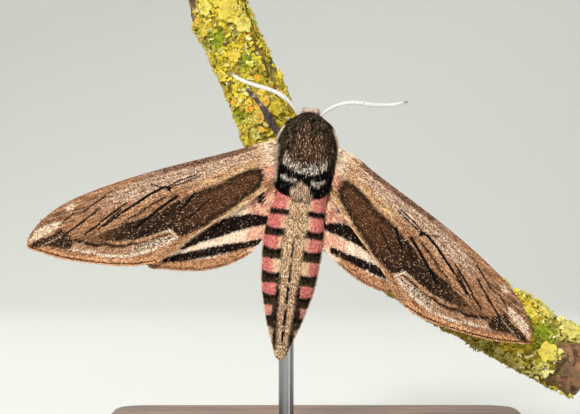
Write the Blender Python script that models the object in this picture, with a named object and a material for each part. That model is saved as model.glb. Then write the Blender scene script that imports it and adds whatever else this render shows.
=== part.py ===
# Privet hawk moth at rest on a cut length of lichened branch, life size, on a display stand.
# The world has +Z up and the moth's back faces -Y. The origin is the centre of the base's underside.
# The moth is modelled in a frame of its own, +X to its right, +Y to its head and +Z out of its back,
# and an empty stands it up. Lengths in this file are in millimetres, and meshes are made in metres.
import math

import bmesh
import bpy
import numpy as np
from mathutils import Matrix, Vector
from mathutils.geometry import delaunay_2d_cdt

MM = 0.001
GAP = 0.3                                 # between pieces that touch

# The moth's place and lean in the world
THORAX_HEIGHT = 57.9                      # of the thorax's middle above the floor
THORAX_SIDE = -2.2
BODY_DEPTH = -12.0                        # of the body's axis along world Y
BODY_LEAN = math.radians(6.5)             # the head leans to the moth's right

SQUARENESS = 2.15                         # of the body's cross-sections, where 2 is round
# The body's forms: rows of (y, x of the middle, half width, top, bottom), nose to tail
THORAX_FORM = (
    (7.4, 0.0, 0.0, 1.7, 1.7),
    (6.9, 0.0, 1.4, 2.6, 1.1),
    (6.1, 0.0, 2.8, 3.5, 0.8),
    (5.0, 0.0, 4.3, 4.3, -0.6),
    (3.7, 0.0, 5.1, 4.8, -3.2),
    (2.2, 0.0, 5.6, 5.1, -4.7),
    (0.2, 0.0, 5.85, 5.35, -5.2),
    (-2.6, 0.0, 5.8, 5.3, -5.2),
    (-5.0, 0.0, 5.7, 5.1, -5.0),
    (-7.0, 0.0, 5.5, 4.85, -4.6),
    (-8.4, 0.0, 4.6, 4.4, -3.9),
    (-9.3, 0.0, 3.1, 3.8, -3.2),
    (-9.8, 0.0, 0.0, 2.6, 2.6),
)
ABDOMEN_FORM = (
    (-6.0, 0.0, 0.0, -0.5, -0.5),
    (-6.5, 0.0, 2.9, 2.0, -3.1),
    (-7.6, 0.0, 4.4, 3.3, -4.5),
    (-9.6, -0.1, 5.0, 3.9, -5.1),
    (-12.8, -0.4, 5.5, 4.2, -5.5),
    (-16.9, -0.6, 5.9, 4.3, -5.7),
    (-20.0, -0.6, 6.0, 4.2, -5.8),
    (-23.4, -0.6, 5.75, 3.9, -5.7),
    (-27.1, -0.6, 5.3, 3.3, -5.5),
    (-30.1, -0.6, 4.55, 2.6, -5.1),
    (-33.0, -0.6, 3.75, 1.8, -4.6),
    (-35.0, -0.6, 3.1, 1.2, -4.2),
    (-37.0, -0.6, 2.3, 0.5, -3.7),
    (-38.9, -0.55, 1.5, -0.2, -3.1),
    (-40.4, -0.5, 0.75, -0.8, -2.4),
    (-41.2, -0.4, 0.0, -1.5, -1.5),
)
SEGMENT_EDGES = (-8.6, -12.75, -16.85, -21.2, -25.8, -30.1, -34.3, -37.6)
SEGMENT_STEP = 0.22                       # how far a segment's rear edge stands over the next
SEGMENT_EDGE = 0.12                       # half the length of that step
ABDOMEN_FRONT = (-6.3, -6.9, -7.7)        # rings before the first segment's edge
ABDOMEN_TAIL = (-38.9, -40.3)
HEAD_MIDDLE = Vector((0.0, 4.3, -2.3))
HEAD_RADII = Vector((2.6, 2.1, 2.4))
EYE_MIDDLE = Vector((2.15, 4.55, -2.6))
EYE_RADIUS = 1.45
PALP_LINE = ((0.95, 5.2, -5.1), (1.05, 6.7, -4.5), (1.02, 7.35, -3.1), (0.98, 7.55, -1.7), (0.95, 7.6, -0.5))
PALP_RADII = (0.45, 0.65, 0.72, 0.76, 0.81, 0.83, 0.76, 0.58, 0.22)
TONGUE_MIDDLE = Vector((0.0, 3.9, -6.3))
TONGUE_COIL = (1.45, 0.5)                 # outer and inner radius of the coil
TONGUE_TURNS = 1.4
TONGUE_RADIUS = 0.27

# The feelers, in the moth's frame, base to tip: thin at the base, with a fine hooked tip
FEELER_RADII = ((0.0, 0.30), (0.12, 0.33), (0.6, 0.37), (0.85, 0.30), (0.95, 0.22), (1.0, 0.11))
LEFT_FEELER = ((-1.45, 5.45, -0.05), (-2.3, 6.6, 0.35), (-3.35, 7.85, 1.0), (-4.6, 8.95, 1.6), (-6.7, 10.1, 2.1),
               (-8.85, 10.7, 2.4), (-11.4, 11.15, 2.4), (-13.5, 11.7, 2.2), (-15.1, 12.35, 1.8), (-16.2, 12.95, 1.5))
RIGHT_FEELER = ((1.45, 5.45, -0.05), (2.1, 6.9, 0.45), (3.0, 7.85, 0.9), (4.1, 8.7, 1.3), (5.3, 9.35, 1.6),
                (6.5, 9.75, 1.8), (9.0, 10.0, 2.1), (11.5, 9.95, 2.1), (14.0, 10.15, 2.0), (15.8, 10.5, 1.8),
                (17.0, 10.95, 1.6), (18.2, 11.3, 1.4))

# The wings. A wing's u runs from its hinge to its tip and v from its axis to its leading edge.
FOREWING_SWEEP = {"left": math.radians(25.0), "right": math.radians(35.0)}
FOREWING_HINGE = Vector((6.45, -2.4, 1.6))
FOREWING_EDGE = ((5.0, 3.65), (10.0, 4.0), (15.0, 4.45), (20.0, 4.85), (25.0, 5.1), (30.0, 5.2), (35.0, 5.1),
                 (40.0, 4.7), (44.2, 3.7), (47.5, 2.2), (49.9, 0.4), (49.9, -1.1), (48.0, -2.85), (44.4, -5.3),
                 (40.1, -7.5), (36.1, -9.3), (31.6, -10.95), (27.5, -11.6), (24.6, -11.4), (21.4, -10.2),
                 (18.0, -9.1), (13.5, -8.1), (9.0, -7.1), (5.0, -6.1), (2.6, -5.2))
FOREWING_ROOT = (1.4, -5.2)               # y where the leading and trailing edges leave the thorax
HINDWING_EDGE = ((9.3, -8.0), (15.3, -11.8), (21.9, -16.7), (26.3, -21.2), (28.3, -24.0), (27.7, -25.5),
                 (24.5, -25.8), (21.0, -25.7), (17.6, -25.15), (13.8, -24.0), (10.4, -22.0), (8.5, -20.6))
HINDWING_ROOT = (-5.0, -7.2)
HINDWING_INNER = (-9.3, -11.5, -13.7, -15.9)  # y of points where it lies along the abdomen
HINDWING_TORNUS = -18.6                   # y of the corner beside the abdomen
WING_THICKNESS = 0.55
WING_DROOP = 6.0                          # how much lower the tips lie than the hinges
WING_SPAN = 45.0                          # over which they droop
HINDWING_DROP = 1.35                      # of the hindwing below the forewing
EDGE_CURL = 0.6                           # of the leading edge, downwards
RIM_SPACING = 1.9
WEB_SPACING = 3.4
VEIN_HALF_WIDTH = 0.42
VEIN_HEIGHT = 0.24                        # of a vein's ridge on the wing's upper side
VEIN_UNDER = 0.1                          # and below it
VEIN_SPACING = 2.5
# The forewing's main veins, in its u and v
FOREWING_VEINS = {
    "subcosta": ((0.9, 2.6), (10.0, 3.2), (20.0, 4.0), (29.0, 4.7)),
    "radius": ((0.9, 1.2), (8.0, 1.8), (15.0, 2.4), (20.3, 2.5)),
    "radius_1": ((13.0, 2.3), (22.0, 3.3), (30.0, 3.9), (35.5, 4.6)),
    "radius_3": ((20.3, 2.5), (30.0, 2.9), (37.0, 3.5), (41.2, 3.8)),
    "radius_4": ((31.0, 2.0), (40.0, 2.4), (44.8, 2.7)),
    "radius_5": ((20.3, 2.0), (31.0, 2.0), (40.0, 1.3), (47.8, 0.6)),
    "medial_1": ((20.1, 1.2), (30.0, 0.2), (40.0, -0.8), (47.6, -1.9)),
    "medial_2": ((20.4, -0.2), (32.0, -2.2), (43.6, -4.6)),
    "medial_3": ((20.0, -1.5), (30.0, -4.0), (40.0, -6.5)),
    "cubitus": ((0.9, -0.4), (6.0, -1.4), (12.5, -2.2), (18.5, -2.2), (20.0, -1.5)),
    "cubital_1": ((18.5, -2.2), (27.0, -5.2), (36.0, -8.2)),
    "cubital_2": ((12.5, -2.2), (22.0, -6.2), (31.2, -10.0)),
    "anal": ((1.4, -2.6), (8.0, -4.6), (16.0, -7.2), (25.2, -10.6)),
    "cell_end": ((20.0, -1.5), (19.7, 0.6), (20.3, 2.5)),
}
# The hindwing's, in x outwards and y, like its edge
HINDWING_VEINS = {
    "radius": ((6.9, -5.9), (12.0, -9.9), (20.0, -16.2), (26.8, -22.4)),
    "sector": ((12.0, -9.9), (14.6, -13.2), (21.0, -19.0), (26.2, -24.6)),
    "medial_1": ((14.0, -14.2), (19.0, -19.5), (23.0, -25.0)),
    "medial_3": ((13.0, -14.6), (16.4, -19.5), (19.2, -24.8)),
    "cubital_1": ((13.0, -14.6), (14.2, -19.5), (15.4, -24.0)),
    "cubital_2": ((10.4, -11.6), (11.3, -17.0), (12.0, -22.3)),
    "cubitus": ((7.0, -6.9), (10.4, -11.6), (13.0, -14.6), (14.6, -13.2)),
    "anal": ((7.4, -9.2), (8.6, -14.5), (9.3, -20.0)),
}

# The coarse locks of the coat. A form's angle runs from its right side, 0, over its back, 90,
# and a size is a lock's width, thickness and bow.
LOCK_SINK = 0.4                           # of a lock's root below the skin
LOCK_SHAPE = ((0.0, 0.75), (0.3, 1.0), (0.65, 0.8), (0.88, 0.45), (1.0, 0.0))  # width along it
LOCK_CLEAR = GAP + SEGMENT_STEP + 0.45    # of a lock's tip over the abdomen
LOBE_LOCKS = 6                            # on each of the two dark lobes over the abdomen's front
LOBE_ANGLES = (20.0, 76.0)
LOBE_ROOT = -7.0
LOBE_REACH = (1.5, 1.6)                   # the shortest, and how much longer the middle ones are
LOBE_SIZE = (1.5, 0.6, 0.25)
FRINGE_LOCKS = 8                          # across the back, in a shallow V
FRINGE_ANGLES = (38.0, 142.0)
FRINGE_ROOT = (-2.9, -1.5)                # y at the sides, and how much further back in the middle
FRINGE_REACH = 2.0
FRINGE_SIZE = (1.7, 0.6, 0.3)
SHOULDER_LOCKS = 5                        # on each side, over the wing's root
SHOULDER_ANGLE = 34.0
SHOULDER_ROOTS = (2.4, -2.6)
SHOULDER_REACH = (1.1, 2.1)               # of the tips, outwards and to the rear
SHOULDER_HEIGHT = 2.75
SHOULDER_SIZE = (1.6, 0.5, 0.3)
TUFT_ANGLES = (83.5, 91.0, 97.5)          # of the pale tuft between the lobes
TUFT_SPAN = (-6.0, -9.7)
TUFT_SIZE = (1.1, 0.6, 0.5)
TAIL_LOCKS = 8
TAIL_SPAN = (-38.2, -41.3)
TAIL_SPREAD = 0.48                        # of the tips round the tail's end
TAIL_SIZE = (1.1, 0.55, 0.25)
HAIR_LINES = (((7.0, -8.6), (7.9, -14.2)), ((7.9, -9.2), (9.6, -14.0)), ((8.9, -10.2), (11.6, -14.2)))
HAIR_RISE = (-0.15, 0.35)                 # of a hair lock's root and tip over the hindwing
HAIR_SIZE = (1.1, 0.5, 0.15)

# The legs, hip to foot, in the moth's frame: (x, y, z) of the hip, knee, ankle and foot
LEG_ROUTES = {
    "foreleg_left": ((-2.3, 2.0), ((-5.7, 3.0, -6.3), (-9.5, 7.6, -6.7), (-13.1, 10.9, -7.4))),
    "foreleg_right": ((2.2, 2.0), ((3.4, 4.3, -6.9), (0.6, 4.9, -8.8), (-2.3, 4.4, -12.4))),
    "midleg_left": ((-2.4, -0.8), ((-7.2, 0.2, -6.2), (-10.9, -1.8, -7.6), (-13.6, -3.0, -12.0))),
    "midleg_right": ((2.5, -0.8), ((5.2, -1.4, -7.0), (3.9, -3.2, -8.4), (1.9, -3.2, -12.8))),
    "hindleg_left": ((-2.2, -3.6), ((-5.4, -7.4, -6.6), (-7.4, -10.8, -8.8), (-6.4, -12.4, -12.6))),
    "hindleg_right": ((2.3, -3.6), ((5.8, -6.2, -6.5), (8.9, -9.1, -7.4), (9.8, -11.6, -11.8))),
}
LEG_RADII = ((0.0, 0.62), (0.12, 0.72), (0.30, 0.60), (0.38, 0.42), (0.46, 0.56), (0.60, 0.52),
             (0.68, 0.36), (0.74, 0.30), (0.85, 0.28), (0.96, 0.27), (1.0, 0.20))

# The branch, in the world: (x, z, radius) along its line, and its depth along Y
BRANCH_LINE = ((-20.6, 90.6, 5.9), (-19.4, 86.0, 5.8), (-16.7, 79.5, 5.7), (-12.9, 71.5, 5.75),
               (-8.9, 61.6, 5.8), (-4.4, 53.95, 5.9), (1.25, 46.65, 6.0), (8.55, 40.7, 6.2),
               (16.5, 36.0, 6.4), (28.5, 28.3, 6.6), (40.4, 22.0, 6.8), (46.4, 18.5, 6.6), (53.7, 14.4, 6.4))
BRANCH_DEPTH = 2.0
BARK_RELIEF = 0.28
BARK_RINGS = 46
BARK_SIDES = 18

# The stand
BASE_SIZE = (84.0, 58.0, 5.0)
BASE_CORNER = 7.0
ROD_SIDE = -6.15
ROD_RADIUS = 1.5
ROD_TOP = 54.0
SOCKET_DEPTH = 3.0                        # of the rod's hole in the base
BRIM_BEVEL = 0.8


# Curves and forms

def smooth(table, at):
    """The values at `at` on a smooth curve through the table's rows, whose first column runs one way."""
    rows = np.array(table, float)
    knots, values = rows[:, 0], rows[:, 1:]
    if knots[0] > knots[-1]:
        knots, values = knots[::-1], values[::-1]
    slopes = np.gradient(values, knots, axis=0)
    k = int(np.clip(np.searchsorted(knots, at) - 1, 0, len(knots) - 2))
    width = knots[k + 1] - knots[k]
    t = (min(max(at, knots[0]), knots[-1]) - knots[k]) / width
    start, end = 2 * t**3 - 3 * t**2 + 1, 3 * t**2 - 2 * t**3
    lead, trail = (t**3 - 2 * t**2 + t) * width, (t**3 - t**2) * width
    return start * values[k] + end * values[k + 1] + lead * slopes[k] + trail * slopes[k + 1]


def through(points, spacing):
    """Points at this spacing on a smooth curve through the given ones."""
    given = np.array(points, float)
    lengths = np.r_[0, np.cumsum(np.linalg.norm(np.diff(given, axis=0), axis=1))]
    table = np.column_stack([lengths, given])
    count = max(2, round(lengths[-1] / spacing))
    return [smooth(table, length) for length in np.linspace(0, lengths[-1], count + 1)]


def rounded(value, power):
    return math.copysign(abs(value) ** power, value)


def section(row, angle, grow=0.0):
    """A point on the cross-section that a form's row (y, x, half width, top, bottom) gives."""
    y, x, half_width, top, bottom = row
    across = (half_width + grow) * rounded(math.cos(angle), 2 / SQUARENESS)
    rise = ((top - bottom) / 2 + grow) * rounded(math.sin(angle), 2 / SQUARENESS)
    return Vector((x + across, y, (top + bottom) / 2 + rise))


def row_at(form, y):
    return (y, *smooth(form, y))


def side_of(form, y, z, side):
    """The x of the form's surface at this y and height, on the side +1 or -1."""
    _, x, half_width, top, bottom = row_at(form, y)
    height = min(abs(z - (top + bottom) / 2) / ((top - bottom) / 2), 0.98)
    return x + side * half_width * (1 - height**SQUARENESS) ** (1 / SQUARENESS)


def skin_point(form, y, angle, outwards):
    """A point this far out of the form's surface, and the surface's normal there."""
    here = section(row_at(form, y), angle)
    along = section(row_at(form, y - 0.05), angle) - section(row_at(form, y + 0.05), angle)
    around = section(row_at(form, y), angle + 0.02) - section(row_at(form, y), angle - 0.02)
    normal = along.cross(around).normalized()
    if normal.dot(here - Vector((0, y, 0))) < 0:
        normal.negate()
    return here + normal * outwards, normal


# Objects

def material(name, colour, roughness, metallic=0.0):
    made = bpy.data.materials.new(name)
    made.use_nodes = True
    shader = made.node_tree.nodes["Principled BSDF"]
    shader.inputs["Base Color"].default_value = (*colour, 1.0)
    shader.inputs["Roughness"].default_value = roughness
    shader.inputs["Metallic"].default_value = metallic
    return made


def collection(name):
    made = bpy.data.collections.new(name)
    bpy.context.scene.collection.children.link(made)
    return made


def add_object(name, data, finish, group, parent=None):
    made = bpy.data.objects.new(name, data)
    if finish:
        data.materials.append(finish)
    group.objects.link(made)
    made.parent = parent
    return made


def mesh_of(name, shape, crease=40):
    """A mesh in metres from a bmesh in millimetres, with its faces out and its round parts shaded smooth."""
    bmesh.ops.recalc_face_normals(shape, faces=shape.faces)
    bmesh.ops.scale(shape, vec=(MM, MM, MM), verts=shape.verts)
    made = bpy.data.meshes.new(name)
    shape.to_mesh(made)
    shape.free()
    made.shade_smooth()
    made.set_sharp_from_angle(angle=math.radians(crease))
    return made


def loft(rings, capped=False):
    """A bmesh through rings of points. A ring of no size is a pole, and capped ends are flat."""
    shape = bmesh.new()
    loops = []
    for ring in rings:
        size = max((point - ring[0]).length for point in ring)
        points = [ring[0]] if size < 1e-6 else ring
        loops.append([shape.verts.new(point) for point in points])
    for one, other in zip(loops, loops[1:]):
        count = max(len(one), len(other))
        for i in range(count):
            j = (i + 1) % count
            if len(one) == 1:
                shape.faces.new((one[0], other[i], other[j]))
            elif len(other) == 1:
                shape.faces.new((one[i], one[j], other[0]))
            else:
                shape.faces.new((one[i], one[j], other[j], other[i]))
    if capped:
        shape.faces.new(loops[0])
        shape.faces.new(loops[-1])
    return shape


def form_rings(form, stations, sides, grow=0.0):
    """Rings of the form at these y stations, whose first and last are its poles."""
    rings = []
    for y, swell in stations:
        row = row_at(form, y)
        if y == form[0][0] or y == form[-1][0]:
            shift = grow if y == form[0][0] else -grow
            rings.append([Vector((row[1], y + shift, (row[3] + row[4]) / 2))] * sides)
        else:
            rings.append([section(row, math.tau * i / sides, grow + swell) for i in range(sides)])
    return rings


def even_stations(form, between=2):
    """The form's own stations, with some between them."""
    stations = []
    for one, other in zip(form, form[1:]):
        stations += [(one[0] + (other[0] - one[0]) * i / between, 0.0) for i in range(between)]
    return [*stations, (form[-1][0], 0.0)]


def tube(name, points, radii, finish, group, parent=None, resolution=2):
    """A round tapered tube along the points. radii gives each point's radius."""
    curve = bpy.data.curves.new(name, "CURVE")
    curve.dimensions = "3D"
    curve.bevel_depth = MM
    curve.bevel_resolution = resolution
    curve.use_fill_caps = True
    line = curve.splines.new("POLY")
    line.points.add(len(points) - 1)
    for knot, point, radius in zip(line.points, points, radii):
        knot.co = (*(Vector(point) * MM), 1.0)
        knot.radius = radius
    return add_object(name, curve, finish, group, parent)


def cut(target, cutter):
    """Cuts the cutter's solid out of the target."""
    cutter.hide_render = True
    cutter.display_type = "WIRE"
    modifier = target.modifiers.new("cut", "BOOLEAN")
    modifier.operation = "DIFFERENCE"
    modifier.object = cutter


def lock(root, tip, up, size):
    """A flat tapered lock of hair from its root to its tip, bowed towards up."""
    width, thickness, bow = size
    along = tip - root
    across = along.cross(up).normalized()
    above = across.cross(along).normalized()
    rings = []
    for share, part in LOCK_SHAPE:
        middle = root + along * share + above * bow * math.sin(math.pi * share)
        wide, high = across * width / 2 * part, above * thickness / 2 * part
        rings.append([middle + wide, middle + high, middle - wide, middle - high])
    shape = loft(rings)
    shape.faces.new(list(shape.verts)[:4])
    return shape


def keep_largest(data):
    """Leaves only the mesh's largest closed surface."""
    shape = bmesh.new()
    shape.from_mesh(data)
    islands, seen = [], set()
    for start in shape.faces:
        if start in seen:
            continue
        island, rest = [], [start]
        seen.add(start)
        while rest:
            face = rest.pop()
            island.append(face)
            near = {other for edge in face.edges for other in edge.link_faces} - seen
            seen |= near
            rest += near
        islands.append(island)
    islands.sort(key=len)
    for island in islands[:-1]:
        bmesh.ops.delete(shape, geom=island, context="FACES")
    shape.to_mesh(data)
    shape.free()


def fuse(target, locks, moth, rooms=()):
    """Joins the locks to the target before its other Booleans cut the rooms, and applies them all."""
    helpers = collection("locks")
    for shape in locks:
        add_object("lock", mesh_of("lock", shape), None, helpers, moth)
    union = target.modifiers.new("locks", "BOOLEAN")
    union.operation = "UNION"
    union.operand_type = "COLLECTION"
    union.collection = helpers
    target.modifiers.move(len(target.modifiers) - 1, 0)
    bpy.context.view_layer.update()
    whole = target.evaluated_get(bpy.context.evaluated_depsgraph_get())
    made = bpy.data.meshes.new_from_object(whole)
    target.modifiers.clear()
    target.data = made
    keep_largest(made)
    for helper in [*helpers.objects, *rooms]:
        bpy.data.objects.remove(helper)
    bpy.data.collections.remove(helpers)


def ball(middle, radii, segments=20, grow=0.0):
    shape = bmesh.new()
    bmesh.ops.create_uvsphere(shape, u_segments=segments, v_segments=segments * 2 // 3, radius=1.0)
    bmesh.ops.scale(shape, vec=Vector(radii) + Vector((grow, grow, grow)), verts=shape.verts)
    bmesh.ops.translate(shape, vec=middle, verts=shape.verts)
    return shape


# The body

def spread(first, last, count):
    """Even steps, with each one's share of the way."""
    return [(first + (last - first) * (i + 0.5) / count, (i + 0.5) / count) for i in range(count)]


def lobe_locks(side):
    for degrees, share in spread(*LOBE_ANGLES, LOBE_LOCKS):
        angle = math.radians(degrees if side > 0 else 180 - degrees)
        root, up = skin_point(THORAX_FORM, LOBE_ROOT, angle, -LOCK_SINK)
        reach = LOBE_REACH[0] + LOBE_REACH[1] * math.sin(math.pi * share)
        tip = skin_point(ABDOMEN_FORM, LOBE_ROOT - reach, angle, LOCK_CLEAR)[0]
        yield lock(root, tip, up, LOBE_SIZE)


def fringe_locks():
    for degrees, share in spread(*FRINGE_ANGLES, FRINGE_LOCKS):
        angle = math.radians(degrees)
        y = FRINGE_ROOT[0] + FRINGE_ROOT[1] * math.sin(math.pi * share)
        root, up = skin_point(THORAX_FORM, y, angle, -LOCK_SINK)
        tip = skin_point(THORAX_FORM, y - FRINGE_REACH, angle, LOCK_SINK)[0]
        yield lock(root, tip, up, FRINGE_SIZE)


def shoulder_locks(side):
    angle = math.radians(SHOULDER_ANGLE if side > 0 else 180 - SHOULDER_ANGLE)
    outwards, rearwards = SHOULDER_REACH
    for y, _ in spread(*SHOULDER_ROOTS, SHOULDER_LOCKS):
        root, up = skin_point(THORAX_FORM, y, angle, -LOCK_SINK)
        edge = side_of(THORAX_FORM, y - rearwards, SHOULDER_HEIGHT, side)
        tip = Vector((edge + side * outwards, y - rearwards, SHOULDER_HEIGHT))
        yield lock(root, tip, up, SHOULDER_SIZE)


def tuft_locks():
    for degrees in TUFT_ANGLES:
        angle = math.radians(degrees)
        root, up = skin_point(THORAX_FORM, TUFT_SPAN[0], angle, -LOCK_SINK)
        tip = skin_point(ABDOMEN_FORM, TUFT_SPAN[1], angle, LOCK_CLEAR)[0]
        yield lock(root, tip, up, TUFT_SIZE)


def eye_ball(side, grow=0.0):
    place = Vector((side * EYE_MIDDLE.x, EYE_MIDDLE.y, EYE_MIDDLE.z))
    return mesh_of("eye", ball(place, (EYE_RADIUS,) * 3, 16, grow))


def make_thorax(finish, group, cutters, moth):
    rings = form_rings(THORAX_FORM, even_stations(THORAX_FORM), 30)
    thorax = add_object("thorax", mesh_of("thorax", loft(rings)), finish, group, moth)
    head_room = mesh_of("head_room", ball(HEAD_MIDDLE, HEAD_RADII, 24, GAP))
    rings = form_rings(ABDOMEN_FORM, even_stations(ABDOMEN_FORM), 30, GAP + SEGMENT_STEP)
    abdomen_room = mesh_of("abdomen_room", loft(rings))
    rooms = [add_object("room", data, None, cutters, moth)
             for data in (head_room, eye_ball(-1, GAP), eye_ball(1, GAP), abdomen_room)]
    for room in rooms:
        cut(thorax, room)
    locks = [*fringe_locks(), *tuft_locks()]
    for side in (-1, 1):
        locks += [*lobe_locks(side), *shoulder_locks(side)]
    fuse(thorax, locks, moth, rooms)


def tail_locks():
    _, end_x, _, end_z, _ = ABDOMEN_FORM[-1]
    for i in range(TAIL_LOCKS):
        angle = math.tau * (i + 0.5) / TAIL_LOCKS
        root, up = skin_point(ABDOMEN_FORM, TAIL_SPAN[0], angle, -LOCK_SINK)
        out = TAIL_SPREAD * Vector((math.cos(angle), -(i % 2) / 2, math.sin(angle)))
        yield lock(root, Vector((end_x, TAIL_SPAN[1], end_z)) + out, up, TAIL_SIZE)


def make_abdomen(finish, group, moth):
    stations = [(ABDOMEN_FORM[0][0], 0.0), *((y, 0.0) for y in ABDOMEN_FRONT)]
    for front, rear in zip(SEGMENT_EDGES, SEGMENT_EDGES[1:]):
        stations += [(front - SEGMENT_EDGE, -SEGMENT_STEP), ((front + rear) / 2, 0.0),
                     (rear + SEGMENT_EDGE, SEGMENT_STEP / 2)]
    stations.append((SEGMENT_EDGES[-1] - SEGMENT_EDGE, -SEGMENT_STEP / 2))
    stations += [*((y, 0.0) for y in ABDOMEN_TAIL), (ABDOMEN_FORM[-1][0], 0.0)]
    rings = form_rings(ABDOMEN_FORM, stations, 28)
    abdomen = add_object("abdomen", mesh_of("abdomen", loft(rings)), finish, group, moth)
    fuse(abdomen, tail_locks(), moth)


def make_head(finish, eye_finish, palp_finish, tongue_finish, group, cutters, moth):
    head = add_object("head", mesh_of("head", ball(HEAD_MIDDLE, HEAD_RADII)), finish, group, moth)
    for name, side in (("left", -1), ("right", 1)):
        add_object(f"eye_{name}", eye_ball(side), eye_finish, group, moth)
        cut(head, add_object(f"eye_socket_{name}", eye_ball(side, GAP), None, cutters, moth))
        line = through([(side * x, y, z) for x, y, z in PALP_LINE], 0.72)
        along = np.linspace(0, len(PALP_RADII) - 1, len(line))
        radii = np.interp(along, range(len(PALP_RADII)), PALP_RADII)
        tube(f"palp_{name}", line, radii, palp_finish, group, moth)
    outer, inner = TONGUE_COIL
    coil = []
    for share in np.linspace(0, 1, 24):
        angle = math.tau * TONGUE_TURNS * share
        way = Vector((0, -math.cos(angle), math.sin(angle)))
        coil.append(TONGUE_MIDDLE + way * (inner + (outer - inner) * share))
    tube("tongue", coil, [TONGUE_RADIUS] * len(coil), tongue_finish, group, moth)


def make_feelers(finish, group, moth):
    for name, line in (("left", LEFT_FEELER), ("right", RIGHT_FEELER)):
        points = through(line, 1.15)
        radii = np.interp(np.linspace(0, 1, len(points)), *zip(*FEELER_RADII))
        tube(f"feeler_{name}", points, radii, finish, group, moth)


# The wings

def wing_lie(x, y):
    """The height of the spread wings over the body's axis, this far out."""
    out = max(abs(x) - FOREWING_HINGE.x, 0.0) / WING_SPAN
    return FOREWING_HINGE.z - WING_DROOP * out**1.25


def forewing_place(side, u, v):
    """The (x, y) of a point of the forewing."""
    sweep = FOREWING_SWEEP["left" if side < 0 else "right"]
    x = FOREWING_HINGE.x + u * math.cos(sweep) + v * math.sin(sweep)
    return side * x, FOREWING_HINGE.y - u * math.sin(sweep) + v * math.cos(sweep)


def forewing_uv(side, x, y):
    sweep = FOREWING_SWEEP["left" if side < 0 else "right"]
    out, fore = side * x - FOREWING_HINGE.x, y - FOREWING_HINGE.y
    return out * math.cos(sweep) - fore * math.sin(sweep), out * math.sin(sweep) + fore * math.cos(sweep)


def forewing_height(side, x, y):
    v = forewing_uv(side, x, y)[1]
    return wing_lie(x, y) - EDGE_CURL * (max(v - 1.0, 0.0) / 4.2) ** 2


def hindwing_height(side, x, y):
    return wing_lie(x, y) - HINDWING_DROP - EDGE_CURL / 4


def root_points(side, span, z):
    """Points along the thorax's side, a gap out of it, from one end of a wing's root to the other."""
    points = []
    for y in np.linspace(*span, 5):
        x = max(abs(side_of(THORAX_FORM, y, z + k, side)) for k in (-WING_THICKNESS, 0, WING_THICKNESS))
        points.append((side * (x + GAP + 0.1), y))
    return points


def forewing_outline(side):
    edge = through([forewing_place(side, u, v) for u, v in FOREWING_EDGE], RIM_SPACING)
    return [*root_points(side, FOREWING_ROOT[::-1], FOREWING_HINGE.z), *map(tuple, edge)]


def hindwing_outline(side):
    z = FOREWING_HINGE.z - HINDWING_DROP
    inner = [(side_of(ABDOMEN_FORM, y, z, side) + side * (GAP + SEGMENT_STEP + 0.15), y)
             for y in HINDWING_INNER]
    corner = (inner[-1][0] + side * 0.6, HINDWING_TORNUS)
    edge = [(side * x, y) for x, y in HINDWING_EDGE]
    line = through([*edge, corner, *inner[::-1]], RIM_SPACING)
    return [*root_points(side, HINDWING_ROOT[::-1], z), *map(tuple, line)]


def distances(line, point):
    """How far the point is from each stretch of the line."""
    line, point = np.array(line), np.array(point)
    steps = line[1:] - line[:-1]
    shares = np.clip(((point - line[:-1]) * steps).sum(axis=1) / (steps**2).sum(axis=1), 0, 1)
    return np.linalg.norm(line[:-1] + steps * shares[:, None] - point, axis=1)


def is_inside(outline, point):
    x, y = point
    crossings = 0
    for (x0, y0), (x1, y1) in zip(outline, (*outline[1:], outline[0])):
        if (y0 > y) != (y1 > y) and x < x0 + (y - y0) * (x1 - x0) / (y1 - y0):
            crossings += 1
    return crossings % 2 == 1


def clear_of(lines, point, reach):
    return all(distances(line, point).min() > reach for line in lines)


def web_points(outline, veins, spacing):
    """A staggered lattice of points inside the outline, clear of its edge and of the veins."""
    closed = [*outline, outline[0]]
    low, high = np.min(outline, axis=0), np.max(outline, axis=0)
    points = []
    for row, y in enumerate(np.arange(low[1], high[1], spacing * 0.87)):
        for x in np.arange(low[0] + (row % 2) * spacing / 2, high[0], spacing):
            if is_inside(outline, (x, y)) and clear_of([closed, *veins], (x, y), spacing * 0.38):
                points.append((x, y))
    return points


def vein_runs(outline, veins):
    """Each vein's crest and both feet of its ridge, as runs of points clear of the edge and of others."""
    closed = [*outline, outline[0]]
    runs = []
    for vein in veins:
        others = [other for other in veins if other is not vein]
        slopes = np.gradient(np.array(vein), axis=0)
        across = np.column_stack([-slopes[:, 1], slopes[:, 0]]) / np.linalg.norm(slopes, axis=1)[:, None]
        runs.append(vein)
        for way in (-1, 1):
            run = []
            for point in np.array(vein) + across * way * VEIN_HALF_WIDTH:
                if (is_inside(outline, point) and clear_of([closed], point, VEIN_HALF_WIDTH * 0.6)
                        and clear_of(others, point, VEIN_HALF_WIDTH * 0.7)):
                    run.append(tuple(point))
                else:
                    runs.append(run)
                    run = []
            runs.append(run)
    return [run for run in runs if len(run) > 1]


def ridge(veins, point):
    """How much of a vein's height the wing has here, from 0 to 1."""
    return max(0.0, 1 - min(distances(vein, point).min() for vein in veins) / VEIN_HALF_WIDTH)


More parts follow.
